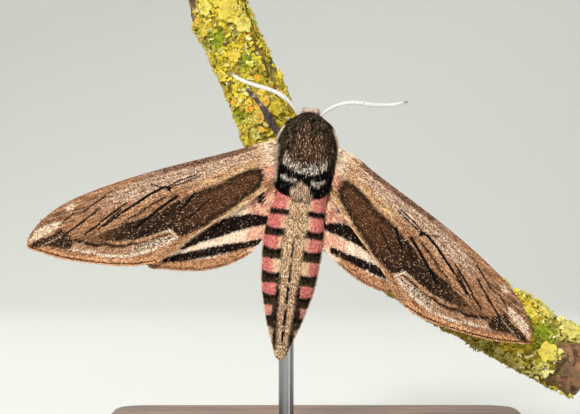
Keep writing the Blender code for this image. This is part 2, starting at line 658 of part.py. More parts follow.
def make_wing(name, side, outline, veins, height, finish, group, moth):
    """A thin wing over its outline, its veins raised in its surface, triangulated alike on both faces."""
    flat = [Vector(point) for point in outline]
    edges = [(i, (i + 1) % len(outline)) for i in range(len(outline))]
    for run in vein_runs(outline, veins):
        edges += [(len(flat) + i, len(flat) + i + 1) for i in range(len(run) - 1)]
        flat += [Vector(point) for point in run]
    flat += [Vector(point) for point in web_points(outline, veins, WEB_SPACING)]
    points, _, faces, *_ = delaunay_2d_cdt(flat, edges, [list(range(len(outline)))], 1, 0.02)
    shape = bmesh.new()
    top, under = [], []
    for x, y in points:
        middle, rise = height(side, x, y), ridge(veins, (x, y))
        top.append(shape.verts.new((x, y, middle + WING_THICKNESS / 2 + VEIN_HEIGHT * rise)))
        under.append(shape.verts.new((x, y, middle - WING_THICKNESS / 2 - VEIN_UNDER * rise)))
    for face in faces:
        shape.faces.new([top[i] for i in face])
        shape.faces.new([under[i] for i in reversed(face)])
    for edge in [edge for edge in shape.edges if edge.is_boundary and edge.verts[0] in top]:
        one, other = (top.index(vert) for vert in edge.verts)
        shape.faces.new((top[one], top[other], under[other]))
        shape.faces.new((top[one], under[other], under[one]))
    return add_object(name, mesh_of(name, shape), finish, group, moth)


def wing_hair(side):
    """The long hair over the hindwing's root, as coarse locks."""
    for line in HAIR_LINES:
        root, tip = (Vector((side * x, y, hindwing_height(side, side * x, y) + WING_THICKNESS / 2 + rise))
                     for (x, y), rise in zip(line, HAIR_RISE))
        yield lock(root, tip, Vector((0, 0, 1)), HAIR_SIZE)


def make_wings(finishes, group, moth):
    for name, side in (("left", -1), ("right", 1)):
        veins = [through([forewing_place(side, u, v) for u, v in vein], VEIN_SPACING)
                 for vein in FOREWING_VEINS.values()]
        make_wing(f"forewing_{name}", side, forewing_outline(side), veins, forewing_height,
                  finishes["forewing"], group, moth)
        veins = [through([(side * x, y) for x, y in vein], VEIN_SPACING) for vein in HINDWING_VEINS.values()]
        hindwing = make_wing(f"hindwing_{name}", side, hindwing_outline(side), veins, hindwing_height,
                             finishes["hindwing"], group, moth)
        fuse(hindwing, wing_hair(side), moth)


# The branch and the legs that grip it

def bark(along, angle):
    """How far the bark stands out at this share of the branch's length and angle round it."""
    knots = math.sin(31 * along + 2 * math.sin(3 * angle)) + math.sin(47 * along + 4 * angle)
    folds = 0.5 * math.sin(5 * angle + 9 * along) + 0.4 * math.sin(83 * along - 3 * angle)
    return BARK_RELIEF * (0.5 * knots + folds)


def branch_frames(count):
    """(middle, across, radius, share of the length) at even steps along the branch."""
    fine = through(BRANCH_LINE, 0.4)
    line = [fine[round(i * (len(fine) - 1) / (count - 1))] for i in range(count)]
    frames = []
    for i, (x, z, radius) in enumerate(line):
        ahead, behind = line[min(i + 1, count - 1)], line[max(i - 1, 0)]
        tangent = Vector((ahead[0] - behind[0], 0, ahead[1] - behind[1])).normalized()
        across = Vector((-tangent.z, 0, tangent.x))
        frames.append((Vector((x, BRANCH_DEPTH, z)), across, radius, i / (count - 1)))
    return frames


def bark_point(frame, angle, outwards=0.0):
    middle, across, radius, along = frame
    way = across * math.cos(angle) + Vector((0, 1, 0)) * math.sin(angle)
    return middle + way * (radius + bark(along, angle) + outwards)


def on_bark(frames, point, outwards):
    """The world point moved to stand this far out of the bark."""
    frame = min(frames, key=lambda each: (each[0] - point).length)
    offset = point - frame[0]
    return bark_point(frame, math.atan2(offset.y, offset.dot(frame[1])), outwards)


def make_branch(finish, group, cutters):
    rings = [[bark_point(frame, math.tau * i / BARK_SIDES) for i in range(BARK_SIDES)]
             for frame in branch_frames(BARK_RINGS)]
    branch = add_object("branch", mesh_of("branch", loft(rings, capped=True)), finish, group)
    hole = rod_shape(ROD_RADIUS + GAP, BASE_SIZE[2] + 20, ROD_TOP + GAP, 24)
    cut(branch, add_object("branch_hole", mesh_of("branch_hole", hole), None, cutters))


def make_legs(finish, group, moth, moth_place):
    to_moth = moth_place.inverted()
    frames = branch_frames(160)
    for name, ((hip_x, hip_y), route) in LEG_ROUTES.items():
        row = row_at(THORAX_FORM, hip_y)
        angle = -math.acos(hip_x / row[2])
        hip, normal = skin_point(THORAX_FORM, hip_y, angle, GAP + 0.05)
        *joints, foot = [Vector(point) for point in route]
        foot = to_moth @ on_bark(frames, moth_place @ foot, LEG_RADII[-2][1] + GAP)
        heel = moth_place @ foot.lerp(joints[-1], 0.35)
        heel = to_moth @ on_bark(frames, heel, LEG_RADII[-3][1] + GAP + 0.15)
        line = through([hip, hip + normal * 0.7, *joints, heel, foot], 1.1)
        radii = [smooth(LEG_RADII, t)[0] for t in np.linspace(0, 1, len(line))]
        tube(name, line, radii, finish, group, moth)


# The stand

def rod_shape(radius, bottom, top, sides):
    shape = bmesh.new()
    bmesh.ops.create_cone(shape, cap_ends=True, segments=sides, radius1=radius, radius2=radius,
                          depth=top - bottom)
    bmesh.ops.translate(shape, vec=(ROD_SIDE, BRANCH_DEPTH, (top + bottom) / 2), verts=shape.verts)
    return shape


def make_stand(base_finish, rod_finish, group, cutters):
    width, depth, height = BASE_SIZE
    shape = bmesh.new()
    bmesh.ops.create_cube(shape, size=1.0)
    bmesh.ops.scale(shape, vec=BASE_SIZE, verts=shape.verts)
    bmesh.ops.translate(shape, vec=(0, 0, height / 2), verts=shape.verts)
    uprights = [edge for edge in shape.edges if abs(edge.verts[0].co.z - edge.verts[1].co.z) > 1]
    bmesh.ops.bevel(shape, geom=uprights, offset=BASE_CORNER, segments=6, affect="EDGES", profile=0.5)
    brim = [edge for edge in shape.edges if min(v.co.z for v in edge.verts) > height - 0.01]
    bmesh.ops.bevel(shape, geom=brim, offset=BRIM_BEVEL, segments=2, affect="EDGES", profile=0.5)
    base = add_object("stand_base", mesh_of("stand_base", shape, 30), base_finish, group)
    socket = rod_shape(ROD_RADIUS + GAP, height - SOCKET_DEPTH, height + 5, 24)
    cut(base, add_object("base_socket", mesh_of("base_socket", socket), None, cutters))
    rod = rod_shape(ROD_RADIUS, height - SOCKET_DEPTH + GAP, ROD_TOP, 24)
    add_object("stand_rod", mesh_of("stand_rod", rod), rod_finish, group)


def main():
    for old in list(bpy.data.objects):
        bpy.data.objects.remove(old)
    group, cutters = collection("privet_hawk_moth"), collection("cutters")
    right = Vector((math.cos(BODY_LEAN), 0, -math.sin(BODY_LEAN)))
    fore = Vector((math.sin(BODY_LEAN), 0, math.cos(BODY_LEAN)))
    turn = Matrix((right, fore, right.cross(fore))).transposed().to_4x4()
    place = Vector((THORAX_SIDE, BODY_DEPTH, THORAX_HEIGHT))
    moth = bpy.data.objects.new("moth", None)
    group.objects.link(moth)
    moth.matrix_world = Matrix.Translation(place * MM) @ turn
    fur = material("dark_fur", (0.05, 0.035, 0.03), 0.9)
    make_thorax(fur, group, cutters, moth)
    make_abdomen(material("banded_fur", (0.75, 0.3, 0.32), 0.9), group, moth)
    make_head(fur, material("eye", (0.03, 0.02, 0.02), 0.25), material("palp_fur", (0.72, 0.6, 0.52), 0.9),
              material("tongue", (0.25, 0.12, 0.06), 0.5), group, cutters, moth)
    make_feelers(material("feeler", (0.85, 0.8, 0.72), 0.7), group, moth)
    wings = {"forewing": material("forewing", (0.45, 0.28, 0.18), 0.8),
             "hindwing": material("hindwing", (0.75, 0.5, 0.38), 0.8)}
    make_wings(wings, group, moth)
    make_branch(material("bark", (0.45, 0.42, 0.1), 0.95), group, cutters)
    make_legs(material("leg", (0.1, 0.08, 0.07), 0.8), group, moth, Matrix.Translation(place) @ turn)
    make_stand(material("base_wood", (0.3, 0.18, 0.1), 0.5), material("rod_steel", (0.6, 0.6, 0.6), 0.3, 1.0),
               group, cutters)


main()
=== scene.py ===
import math

import bmesh
import bpy
import numpy as np
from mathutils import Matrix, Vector, noise


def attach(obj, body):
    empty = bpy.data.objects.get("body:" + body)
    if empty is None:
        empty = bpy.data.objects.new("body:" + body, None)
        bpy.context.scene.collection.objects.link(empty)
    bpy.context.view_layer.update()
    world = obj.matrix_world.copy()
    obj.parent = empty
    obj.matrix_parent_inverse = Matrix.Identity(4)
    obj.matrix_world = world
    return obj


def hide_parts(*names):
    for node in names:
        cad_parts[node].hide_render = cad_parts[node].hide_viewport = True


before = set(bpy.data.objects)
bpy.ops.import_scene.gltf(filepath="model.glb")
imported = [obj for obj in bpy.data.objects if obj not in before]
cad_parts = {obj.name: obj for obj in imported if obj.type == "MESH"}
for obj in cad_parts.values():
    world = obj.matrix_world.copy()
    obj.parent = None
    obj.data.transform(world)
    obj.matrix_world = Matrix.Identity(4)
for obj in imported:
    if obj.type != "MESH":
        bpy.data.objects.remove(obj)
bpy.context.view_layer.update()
print("frame loaded")

# A privet hawk moth on a lichened branch, on a display stand.
# Most shapes are in millimetres in the moth's own frame: x to its right, y to its head, z out of its back.

# where the thorax's middle stands in the world, and the moth's lean in degrees
stance = {"side": -2.2, "depth": -12.0, "height": 57.9, "lean": 6.5}
lean = math.radians(stance["lean"])
mothAxes = np.array([[math.cos(lean), 0, -math.sin(lean)], [math.sin(lean), 0, math.cos(lean)], [0, -1, 0]])
mothMiddle = np.array([stance["side"], stance["depth"], stance["height"]])


def toWorld(points):
    return (np.asarray(points, float) @ mothAxes + mothMiddle) * 0.001


def toMoth(points):
    return (np.asarray(points, float) * 1000 - mothMiddle) @ mothAxes.T


def addObject(name, data):
    made = bpy.data.objects.new(name, data)
    bpy.context.scene.collection.objects.link(made)
    return made


def unit(way):
    return way / np.linalg.norm(way)


def directions(line):  # along the line, at each of its points
    ways = np.gradient(np.asarray(line, float), axis=0)
    return ways / np.linalg.norm(ways, axis=1)[:, None]


def turnsOf(sides):
    return np.arange(sides) * math.tau / sides


# curves, fields and meshes

def curveRows(table, at):  # a smooth curve through the table's rows, read at these values of its first column
    rows = np.array(table, float)
    if rows[0, 0] > rows[-1, 0]:
        rows = rows[::-1]
    knots, values = rows[:, 0], rows[:, 1:]
    at = np.clip(np.atleast_1d(np.asarray(at, float)), knots[0], knots[-1])
    slopes = np.gradient(values, knots, axis=0)
    k = np.clip(np.searchsorted(knots, at) - 1, 0, len(knots) - 2)
    width = (knots[k + 1] - knots[k])[:, None]
    t = (at - knots[k])[:, None] / width
    start, end = 2 * t**3 - 3 * t**2 + 1, 3 * t**2 - 2 * t**3
    lead, trail = (t**3 - 2 * t**2 + t) * width, (t**3 - t**2) * width
    return start * values[k] + end * values[k + 1] + lead * slopes[k] + trail * slopes[k + 1]


def curveThrough(points, count):  # evenly spaced points on a smooth curve through the given ones
    given = np.array(points, float)
    lengths = np.r_[0, np.cumsum(np.linalg.norm(np.diff(given, axis=0), axis=1))]
    return curveRows(np.column_stack([lengths, given]), np.linspace(0, lengths[-1], count))


def lineDistance(spots, line, closed=False):  # how far each spot is from the line
    line = np.array(line, float)
    if closed:
        line = np.vstack([line, line[:1]])
    best = np.full(len(spots), 1e9)
    for one, other in zip(line, line[1:]):
        step = other - one
        share = np.clip((spots - one) @ step / (step @ step), 0, 1)
        best = np.minimum(best, np.linalg.norm(one + share[:, None] * step - spots, axis=1))
    return best


def regionDistance(spots, outline):  # the same to a region's edge, negative inside
    outline = np.array(outline, float)
    inside = np.zeros(len(spots), bool)
    for (x0, y0), (x1, y1) in zip(outline, np.vstack([outline[1:], outline[:1]])):
        crosses = (y0 > spots[:, 1]) != (y1 > spots[:, 1])
        inside ^= crosses & (spots[:, 0] < x0 + (spots[:, 1] - y0) * (x1 - x0) / (y1 - y0 if y1 != y0 else 1))
    away = lineDistance(spots, outline, closed=True)
    return np.where(inside, -away, away)


def ramp(value, low, high):  # 0 below low and 1 above high, smooth between
    t = np.clip((np.asarray(value, float) - low) / (high - low), 0, 1)
    return t * t * (3 - 2 * t)


def meshPiece(name, points, faces, fields=None, smooth=True):
    mesh = bpy.data.meshes.new(name)
    mesh.from_pydata([tuple(p) for p in np.asarray(points)], [], [tuple(f) for f in faces])
    if smooth:
        mesh.shade_smooth()
    giveFields(mesh, fields or {})
    return addObject(name, mesh)


def giveFields(mesh, fields):
    for key, values in fields.items():
        values = np.asarray(values, np.float32)
        kind = "FLOAT" if values.ndim == 1 else "FLOAT_VECTOR"
        attribute = mesh.attributes.new(key, kind, "POINT")
        attribute.data.foreach_set("value" if values.ndim == 1 else "vector", values.ravel())


def luckOf(count):
    return np.random.default_rng(4).random(count)


def readField(mesh, key, width=1):
    attribute = mesh.attributes[key]
    values = np.zeros(len(attribute.data) * width, np.float32)
    attribute.data.foreach_get("value" if width == 1 else "vector", values)
    return values if width == 1 else values.reshape(-1, width)


def pointsOf(mesh):
    points = np.zeros(len(mesh.vertices) * 3, np.float32)
    mesh.vertices.foreach_get("co", points)
    return points.reshape(-1, 3).astype(float)


def gridFaces(rows, columns, closed=False):
    i, j = np.meshgrid(np.arange(rows - 1), np.arange(columns if closed else columns - 1), indexing="ij")
    nextJ = (j + 1) % columns
    quads = np.stack([i * columns + j, i * columns + nextJ, (i + 1) * columns + nextJ, (i + 1) * columns + j], -1)
    return quads.reshape(-1, 4)


def lathe(rings):  # points and faces of a closed tube through rings, with a pole at each end
    rings = np.asarray(rings, float)
    count, sides = rings.shape[:2]
    points = np.vstack([rings.reshape(-1, 3), rings[0].mean(0), rings[-1].mean(0)])
    faces = [tuple(f[::-1]) for f in gridFaces(count, sides, closed=True)]
    first, last = count * sides, count * sides + 1
    for j in range(sides):
        k = (j + 1) % sides
        faces.append((first, k, j)[::-1])
        faces.append((last, (count - 1) * sides + j, (count - 1) * sides + k)[::-1])
    return points, faces


def faceOut(piece, weld=0):
    shape = bmesh.new()
    shape.from_mesh(piece.data)
    if weld:
        bmesh.ops.remove_doubles(shape, verts=shape.verts, dist=weld)
    bmesh.ops.recalc_face_normals(shape, faces=shape.faces)
    shape.to_mesh(piece.data)
    shape.free()


def tubeRings(line, radii, sides):  # rings round a line of points, turned as little as can be from one to the next
    line, radii = np.asarray(line, float), np.asarray(radii, float)
    tangents = directions(line)
    across, way = np.zeros_like(line), np.cross(tangents[0], [0.13, 0.21, 0.97])
    for i, tangent in enumerate(tangents):
        way = unit(way - tangent * (way @ tangent))
        across[i] = way
    up = np.cross(across, tangents)
    angles = turnsOf(sides)
    ways = across[:, None] * np.cos(angles)[None, :, None] + up[:, None] * np.sin(angles)[None, :, None]
    return line[:, None] + ways * radii[:, None, None]


def paint(piece, material):
    piece.data.materials.clear()
    piece.data.materials.append(material)


def finishPiece(piece, material, nodes=()):
    paint(piece, material)
    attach(piece, "root")
    if nodes:
        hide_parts(*nodes)
    return piece


# materials

class Wire:  # a socket in a node tree: sums on it add Math nodes
    def __init__(self, tree, socket=None):
        self.tree, self.socket = tree, socket

    def node(self, kind, settings=None, values=None, out=0):
        made = self.tree.nodes.new(kind)
        for key, value in (settings or {}).items():
            setattr(made, key, value)
        for key, value in (values or {}).items():
            if isinstance(value, Wire):
                self.tree.links.new(value.socket, made.inputs[key])
            elif hasattr(value, "__len__") and len(value) == 3 and made.inputs[key].type == "RGBA":
                made.inputs[key].default_value = (*value, 1)
            else:
                made.inputs[key].default_value = value
        return Wire(self.tree, made.outputs[out])

    def sum(self, operation, *others):
        return self.node("ShaderNodeMath", {"operation": operation}, dict(enumerate((self, *others))))

    def __add__(self, other):
        return self.sum("ADD", other)

    def __mul__(self, other):
        return self.sum("MULTIPLY", other)

    def __sub__(self, other):
        return self.sum("SUBTRACT", other)

    def __rsub__(self, other):
        return self.node("ShaderNodeMath", {"operation": "SUBTRACT"}, {0: other, 1: self})

    __radd__, __rmul__ = __add__, __mul__

    def rise(self, low, high):  # 0 at low, 1 at high, smooth between
        return self.node("ShaderNodeMapRange", {"interpolation_type": "SMOOTHSTEP"},
                         {"Value": self, "From Min": low, "From Max": high})

    def fall(self, low, high):  # 1 at low, 0 at high
        return 1 - self.rise(low, high)


class Finish(Wire):  # a material under way
    def __init__(self, name, **sockets):
        self.material = bpy.data.materials.new(name)
        self.material.use_nodes = True
        super().__init__(self.material.node_tree)
        self.shader = self.tree.nodes["Principled BSDF"]
        for key, value in sockets.items():
            self.shader.inputs[key.replace("_", " ")].default_value = value
        # the Object coordinates, and the colour so far
        self.place, self.top = self.node("ShaderNodeTexCoord", out=3), None

    def field(self, name, out=2):
        return self.node("ShaderNodeAttribute", {"attribute_name": name}, out=out)

    def spot(self, name, scale):
        return self.node("ShaderNodeMapping", {}, {"Vector": self.field(name, 1), "Scale": scale})

    def grain(self, scale, detail, place=None):
        return self.node("ShaderNodeTexNoise", {}, {"Vector": place or self.place, "Scale": scale, "Detail": detail,
                                                    "Roughness": 0.55})

    def weave(self, scale, detail, along, across):  # grain drawn out along a wing
        return self.grain(scale, detail, self.spot("wingSpot", (along, across, 1)))

    def cells(self, scale, place=None):
        return self.node("ShaderNodeTexVoronoi", {}, {"Vector": place or self.place, "Scale": scale})

    def mix(self, share, one, other, way="MIX"):  # a colour is a wire, three numbers or a hex code
        one, other = (tint(colour) if isinstance(colour, str) else colour for colour in (one, other))
        return self.node("ShaderNodeMix", {"data_type": "RGBA", "blend_type": way, "clamp_factor": True},
                         {0: share, 6: one, 7: other}, out=2)

    def lay(self, share, over, way="MIX"):  # the next colour over the ones so far
        self.top = self.mix(share, self.top, over, way)

    def colour(self, wire):
        self.tree.links.new(wire.socket, self.shader.inputs["Base Color"])

    def rough(self, wire):
        self.tree.links.new(wire.socket, self.shader.inputs["Roughness"])

    def bump(self, wire, strength, distance):
        made = self.node("ShaderNodeBump", {}, {"Height": wire, "Strength": strength, "Distance": distance})
        self.tree.links.new(made.socket, self.shader.inputs["Normal"])


def tint(code):  # a colour as a painter's hex code, made linear
    parts = [int(code[i:i + 2], 16) / 255 for i in (0, 2, 4)]
    return tuple(part / 12.92 if part <= 0.04045 else ((part + 0.055) / 1.055) ** 2.4 for part in parts)


# coats: Geometry Nodes that plant tufts over a skin

def tuftShape(name, widest, bow):  # one tuft along x, 1 long and 1 wide, rooted at the origin
    points = [(0, 0, 0), (widest, -0.5, bow), (widest, 0.5, bow), (widest + 0.05, 0, bow + 0.6), (1, 0, 0)]
    spots = [(-0.5, 0, 0), (widest - 0.5, -0.5, 0), (widest - 0.5, 0.5, 0), (widest - 0.5, 0, 0), (0.5, 0, 0)]
    faces = [(0, 1, 3), (0, 3, 2), (0, 2, 1), (4, 3, 1), (4, 2, 3), (4, 1, 2)]
    tuft = meshPiece(name, points, faces, {"tuftSpot": spots})
    faceOut(tuft)
    tuft.hide_render = True
    return tuft


def coatTree():
    tree = bpy.data.node_groups.new("coat", "GeometryNodeTree")
    tree.is_modifier = True
    ports = [("Geometry", "NodeSocketGeometry"), ("Tuft", "NodeSocketObject"), ("Density", "NodeSocketFloat"),
             ("Length", "NodeSocketFloat"), ("Width", "NodeSocketFloat"), ("Thickness", "NodeSocketFloat"),
             ("Lift", "NodeSocketFloat"), ("Spread", "NodeSocketFloat"), ("Seed", "NodeSocketInt"),
             ("Material", "NodeSocketMaterial")]
    for name, kind in ports:
        tree.interface.new_socket(name, in_out="INPUT", socket_type=kind)
    tree.interface.new_socket("Geometry", in_out="OUTPUT", socket_type="NodeSocketGeometry")
    base = Wire(tree)
    given = {name: base.node("NodeGroupInput", out=name) for name, _ in ports}

    def chance(low, high, seed):
        return base.node("FunctionNodeRandomValue", {"data_type": "FLOAT"},
                         {2: low, 3: high, "Seed": given["Seed"] + seed}, out=1)

    def named(name, kind="FLOAT"):
        return base.node("GeometryNodeInputNamedAttribute", {"data_type": kind}, {"Name": name})

    def stored(geometry, name, kind, value):
        return base.node("GeometryNodeStoreNamedAttribute", {"data_type": kind, "domain": "POINT"},
                         {"Geometry": geometry, "Name": name, "Value": value})

    planted = base.node("GeometryNodeDistributePointsOnFaces", {"distribute_method": "RANDOM"},
                        {"Mesh": given["Geometry"], "Density": given["Density"] * named("furDensity"),
                         "Seed": given["Seed"]})
    normal = Wire(tree, planted.socket.node.outputs["Normal"])
    points = stored(planted, "rootPlace", "FLOAT_VECTOR", base.node("GeometryNodeInputPosition"))
    points = stored(points, "hairChance", "FLOAT", chance(0.0, 1.0, 1))
    lying = base.node("FunctionNodeAxesToRotation", {"primary_axis": "Z", "secondary_axis": "X"},
                      {"Primary Axis": normal, "Secondary Axis": named("furLie", "FLOAT_VECTOR")})
    turn = base.node("ShaderNodeCombineXYZ", {},
                     {"Y": (-1.0) * given["Lift"] * chance(0.5, 1.5, 2) * named("furLift"),
                                                  "Z": given["Spread"] * chance(-1.0, 1.0, 3)})
    turned = base.node("FunctionNodeRotateRotation", {"rotation_space": "LOCAL"},
                       {"Rotation": lying, "Rotate By": base.node("FunctionNodeEulerToRotation", {}, {0: turn})})
    size = base.node("ShaderNodeCombineXYZ", {}, {"X": given["Length"] * named("furLength") * chance(0.65, 1.25, 4),
                                                  "Y": given["Width"] * chance(0.7, 1.3, 5),
                                                  "Z": given["Thickness"]})
    tuft = base.node("GeometryNodeObjectInfo", {}, {"Object": given["Tuft"]}, out="Geometry")
    placed = base.node("GeometryNodeInstanceOnPoints", {},
                       {"Points": points, "Instance": tuft, "Rotation": turned, "Scale": size})
    real = base.node("GeometryNodeRealizeInstances", {}, {"Geometry": placed})
    done = base.node("GeometryNodeSetMaterial", {}, {"Geometry": real, "Material": given["Material"]})
    out = tree.nodes.new("NodeGroupOutput")
    tree.links.new(done.socket, out.inputs[0])
    return tree


def runTree(tree, piece, settings, name):  # the tree's result on the piece, as a plain mesh piece
    modifier = piece.modifiers.new("grow", "NODES")
    modifier.node_group = tree
    for item in tree.interface.items_tree:
        if item.in_out == "INPUT" and item.name in settings:
            modifier[item.identifier] = settings[item.name]
    bpy.context.view_layer.update()
    grown = piece.evaluated_get(bpy.context.evaluated_depsgraph_get())
    mesh = bpy.data.meshes.new_from_object(grown)
    piece.modifiers.remove(modifier)
    mesh.name = name
    return addObject(name, mesh)


patchWidth = 0.003  # of each tuft's patch on the OFBake map
furFields = ("furLie", "furDensity", "furLength", "furLift")  # what the tree reads from a skin


def inMap(share):  # leaves a rim free round the map
    return 0.02 + 0.96 * share


def giveBakeMap(mesh, places):
    corners = np.zeros(len(mesh.loops), np.int32)
    mesh.loops.foreach_get("vertex_index", corners)
    layer = mesh.uv_layers.new(name="OFBake")
    layer.uv.foreach_set("vector", places[corners].astype(np.float32).ravel())


def dropFields(mesh, names):
    for name in names:
        mesh.attributes.remove(mesh.attributes[name])


def growCoat(name, skin, tuft, settings, material, unwrap):
    coat = runTree(coatGrower, skin, {"Tuft": tuft, "Material": material, **settings}, name)
    mesh = coat.data
    roots, spots = readField(mesh, "rootPlace", 3), readField(mesh, "tuftSpot", 3)
    giveBakeMap(mesh, unwrap(roots) + spots[:, :2] * patchWidth)
    dropFields(mesh, (*furFields, "tuftSpot", "rootPlace"))
    mesh.shade_smooth()
    print(name, len(mesh.loops) - 2 * len(mesh.polygons), "triangles")
    return finishPiece(coat, material)


def partOf(piece, kept):  # a copy of the piece with these points only
    part = piece.copy()
    part.data = piece.data.copy()
    bpy.context.scene.collection.objects.link(part)
    shape = bmesh.new()
    shape.from_mesh(part.data)
    shape.verts.ensure_lookup_table()
    bmesh.ops.delete(shape, geom=[v for v in shape.verts if not kept[v.index]], context="VERTS")
    shape.to_mesh(part.data)
    shape.free()
    return part


coatGrower = coatTree()
hairTuft, scaleTuft = tuftShape("hairTuft", 0.4, 1.8), tuftShape("scaleTuft", 0.68, 0.8)

# camera, floor and light

# in mm: how far the moth is, and the frame's width and middle there
photo = {"distance": 400.0, "wide": 111.54, "middle": (-5.38, 46.92)}
cameraData = bpy.data.cameras.new("camera")
cameraData.sensor_width = 36
cameraData.lens = 36 * photo["distance"] / photo["wide"]
cameraData.clip_start, cameraData.clip_end = 0.01, 20
camera = addObject("camera", cameraData)
camera.location = Vector((photo["middle"][0], stance["depth"] - photo["distance"], photo["middle"][1])) * 0.001
camera.rotation_euler = (math.radians(90), 0, 0)
bpy.context.scene.camera = camera

# a sweep of pale paper under and behind the stand, in metres
studio = {"reach": 1.6, "back": 0.55, "bend": 0.3, "height": 1.6}


def makeBackdrop():
    profile = [(-studio["reach"], 0.0)]
    for k in range(13):
        angle = math.pi / 2 * k / 12
        profile.append((studio["back"] + studio["bend"] * math.sin(angle), studio["bend"] * (1 - math.cos(angle))))
    profile.append((studio["back"] + studio["bend"], studio["height"]))
    points = [(x, y, z) for x in (-studio["reach"], studio["reach"]) for y, z in profile]
    count = len(profile)
    faces = [(i, i + count, i + count + 1, i + 1) for i in range(count - 1)]
    sweep = meshPiece("backdrop", points, faces)
    paper = Finish("palePaper", Roughness=0.9)
    shade = paper.grain(3.0, 2)
    paper.colour(paper.mix(shade, "d9dad2", "e2e2dc"))
    paint(sweep, paper.material)


def addLight(name, place, target, size, power, colour=(1, 1, 1)):
    lamp = bpy.data.lights.new(name, "AREA")
    lamp.shape, lamp.size, lamp.energy, lamp.color = "DISK", size, power, colour
    light = addObject(name, lamp)
    light.location = place
    light.rotation_euler = (Vector(target) - Vector(place)).to_track_quat("-Z", "Y").to_euler()


# each lamp's place, size in metres and watts
lights = {"key": ((-0.35, -0.75, 0.55), 0.28, 8.2), "fill": ((0.55, -0.7, 0.2), 0.5, 2.0),
          "top": ((0.0, 0.1, 0.9), 0.6, 3.0), "behind": ((-0.2, 0.45, 0.5), 0.5, 1.5)}
makeBackdrop()
for lampName, (place, size, power) in lights.items():
    addLight(lampName, place, (-0.005, -0.01, 0.05), size, power)
world = bpy.data.worlds.new("room")
world.use_nodes = True
world.node_tree.nodes["Background"].inputs[0].default_value = (0.95, 0.97, 1.0, 1)
world.node_tree.nodes["Background"].inputs[1].default_value = 0.22
bpy.context.scene.world = world
bpy.context.scene.view_settings.view_transform = "Standard"
print("camera, light and floor")

# the body: one skin over head, thorax and abdomen

body = {
    "square": 2.15,  # how square its sections are, where 2 is round
    "thoraxDepth": 0.25, "abdomenDepth": 0.28,  # of the coat over the skin
    "thoraxRings": (60, 64), "abdomenRings": (260, 80),  # rings and sides
    "voxel": 0.0002,
}
# rows of (y, x of the middle, half width, top, bottom)
thoraxForm = ((7.4, 0.0, 0.0, 1.7, 1.7), (6.9, 0.0, 1.4, 2.6, 1.1), (6.1, 0.0, 2.8, 3.5, 0.8),
              (5.0, 0.0, 4.3, 4.3, -0.6), (3.7, 0.0, 5.1, 4.8, -3.2), (2.2, 0.0, 5.6, 5.1, -4.7),
              (0.2, 0.0, 5.85, 5.35, -5.2), (-2.6, 0.0, 5.8, 5.3, -5.2), (-5.0, 0.0, 5.7, 5.1, -5.0),
              (-7.0, 0.0, 5.5, 4.85, -4.6), (-8.4, 0.0, 4.6, 4.4, -3.9), (-9.3, 0.0, 3.1, 3.8, -3.2),
              (-9.8, 0.0, 0.0, 2.6, 2.6))
abdomenForm = ((-6.0, 0.0, 0.0, -0.5, -0.5), (-6.5, 0.0, 2.9, 2.0, -3.1), (-7.6, 0.0, 4.4, 3.3, -4.5),
               (-9.6, -0.1, 5.0, 3.9, -5.1), (-12.8, -0.4, 5.5, 4.2, -5.5), (-16.9, -0.6, 5.9, 4.3, -5.7),
               (-20.0, -0.6, 6.0, 4.2, -5.8), (-23.4, -0.6, 5.75, 3.9, -5.7), (-27.1, -0.6, 5.3, 3.3, -5.5),
               (-30.1, -0.6, 4.55, 2.6, -5.1), (-33.0, -0.6, 3.75, 1.8, -4.6), (-35.0, -0.6, 3.1, 1.2, -4.2),
               (-37.0, -0.6, 2.3, 0.5, -3.7), (-38.9, -0.55, 1.65, -0.2, -3.1), (-40.4, -0.5, 0.95, -0.8, -2.4),
               (-41.2, -0.4, 0.0, -1.5, -1.5))
segmentEdges = np.array((-8.6, -12.75, -16.85, -21.2, -25.8, -30.1, -34.3, -37.6))
# on its back, seen from above: the pale fringe's rear edge, the tan tuft behind it and the brown disc's edge
ridgeLine = ((-6.6, -5.6), (-5.5, -4.4), (-4.8, -3.2), (-4.2, -2.5), (-3.2, -3.2), (-1.95, -3.85), (-0.81, -4.15),
             (0.5, -4.25), (1.5, -4.15), (2.5, -3.95), (3.4, -3.4), (4.2, -2.6), (4.9, -2.7), (5.6, -3.5),
             (6.6, -5.0))
lobeEdge = ((-7.0, -1.0), (-6.2, -4.6), (-5.8, -6.2), (-5.3, -7.2), (-4.3, -8.2), (-3.0, -8.9), (-1.4, -8.9),
            (0.3, -9.3), (2.0, -8.6), (3.4, -8.9), (4.4, -8.2), (5.4, -7.0), (5.6, -5.4), (7.0, -1.0))
rearTuft = ((-0.5, -5.6), (0.3, -6.2), (1.31, -6.9), (2.1, -8.2), (2.1, -9.6), (-1.86, -9.6), (-2.3, -7.5),
            (-1.2, -6.5))
discEdge = ((-1.74, 3.39), (-3.02, 2.07), (-3.07, 0.25), (-4.11, -1.94), (-3.01, -3.63), (-0.84, -4.55),
            (2.52, -4.43), (4.18, -3.07), (3.48, -0.3), (3.13, 2.77), (1.3, 3.99))
headBall = {"middle": (0.0, 4.3, -2.3), "radii": (2.6, 2.1, 2.4)}
eyeBall = {"middle": (2.15, 4.55, -2.6), "radius": 1.45}
palpLine = ((0.95, 5.2, -5.1), (1.05, 6.7, -4.5), (1.02, 7.35, -3.1), (0.98, 7.55, -1.7), (0.95, 7.6, -0.5))
palpRadii = (0.45, 0.65, 0.72, 0.76, 0.81, 0.83, 0.76, 0.58, 0.22)


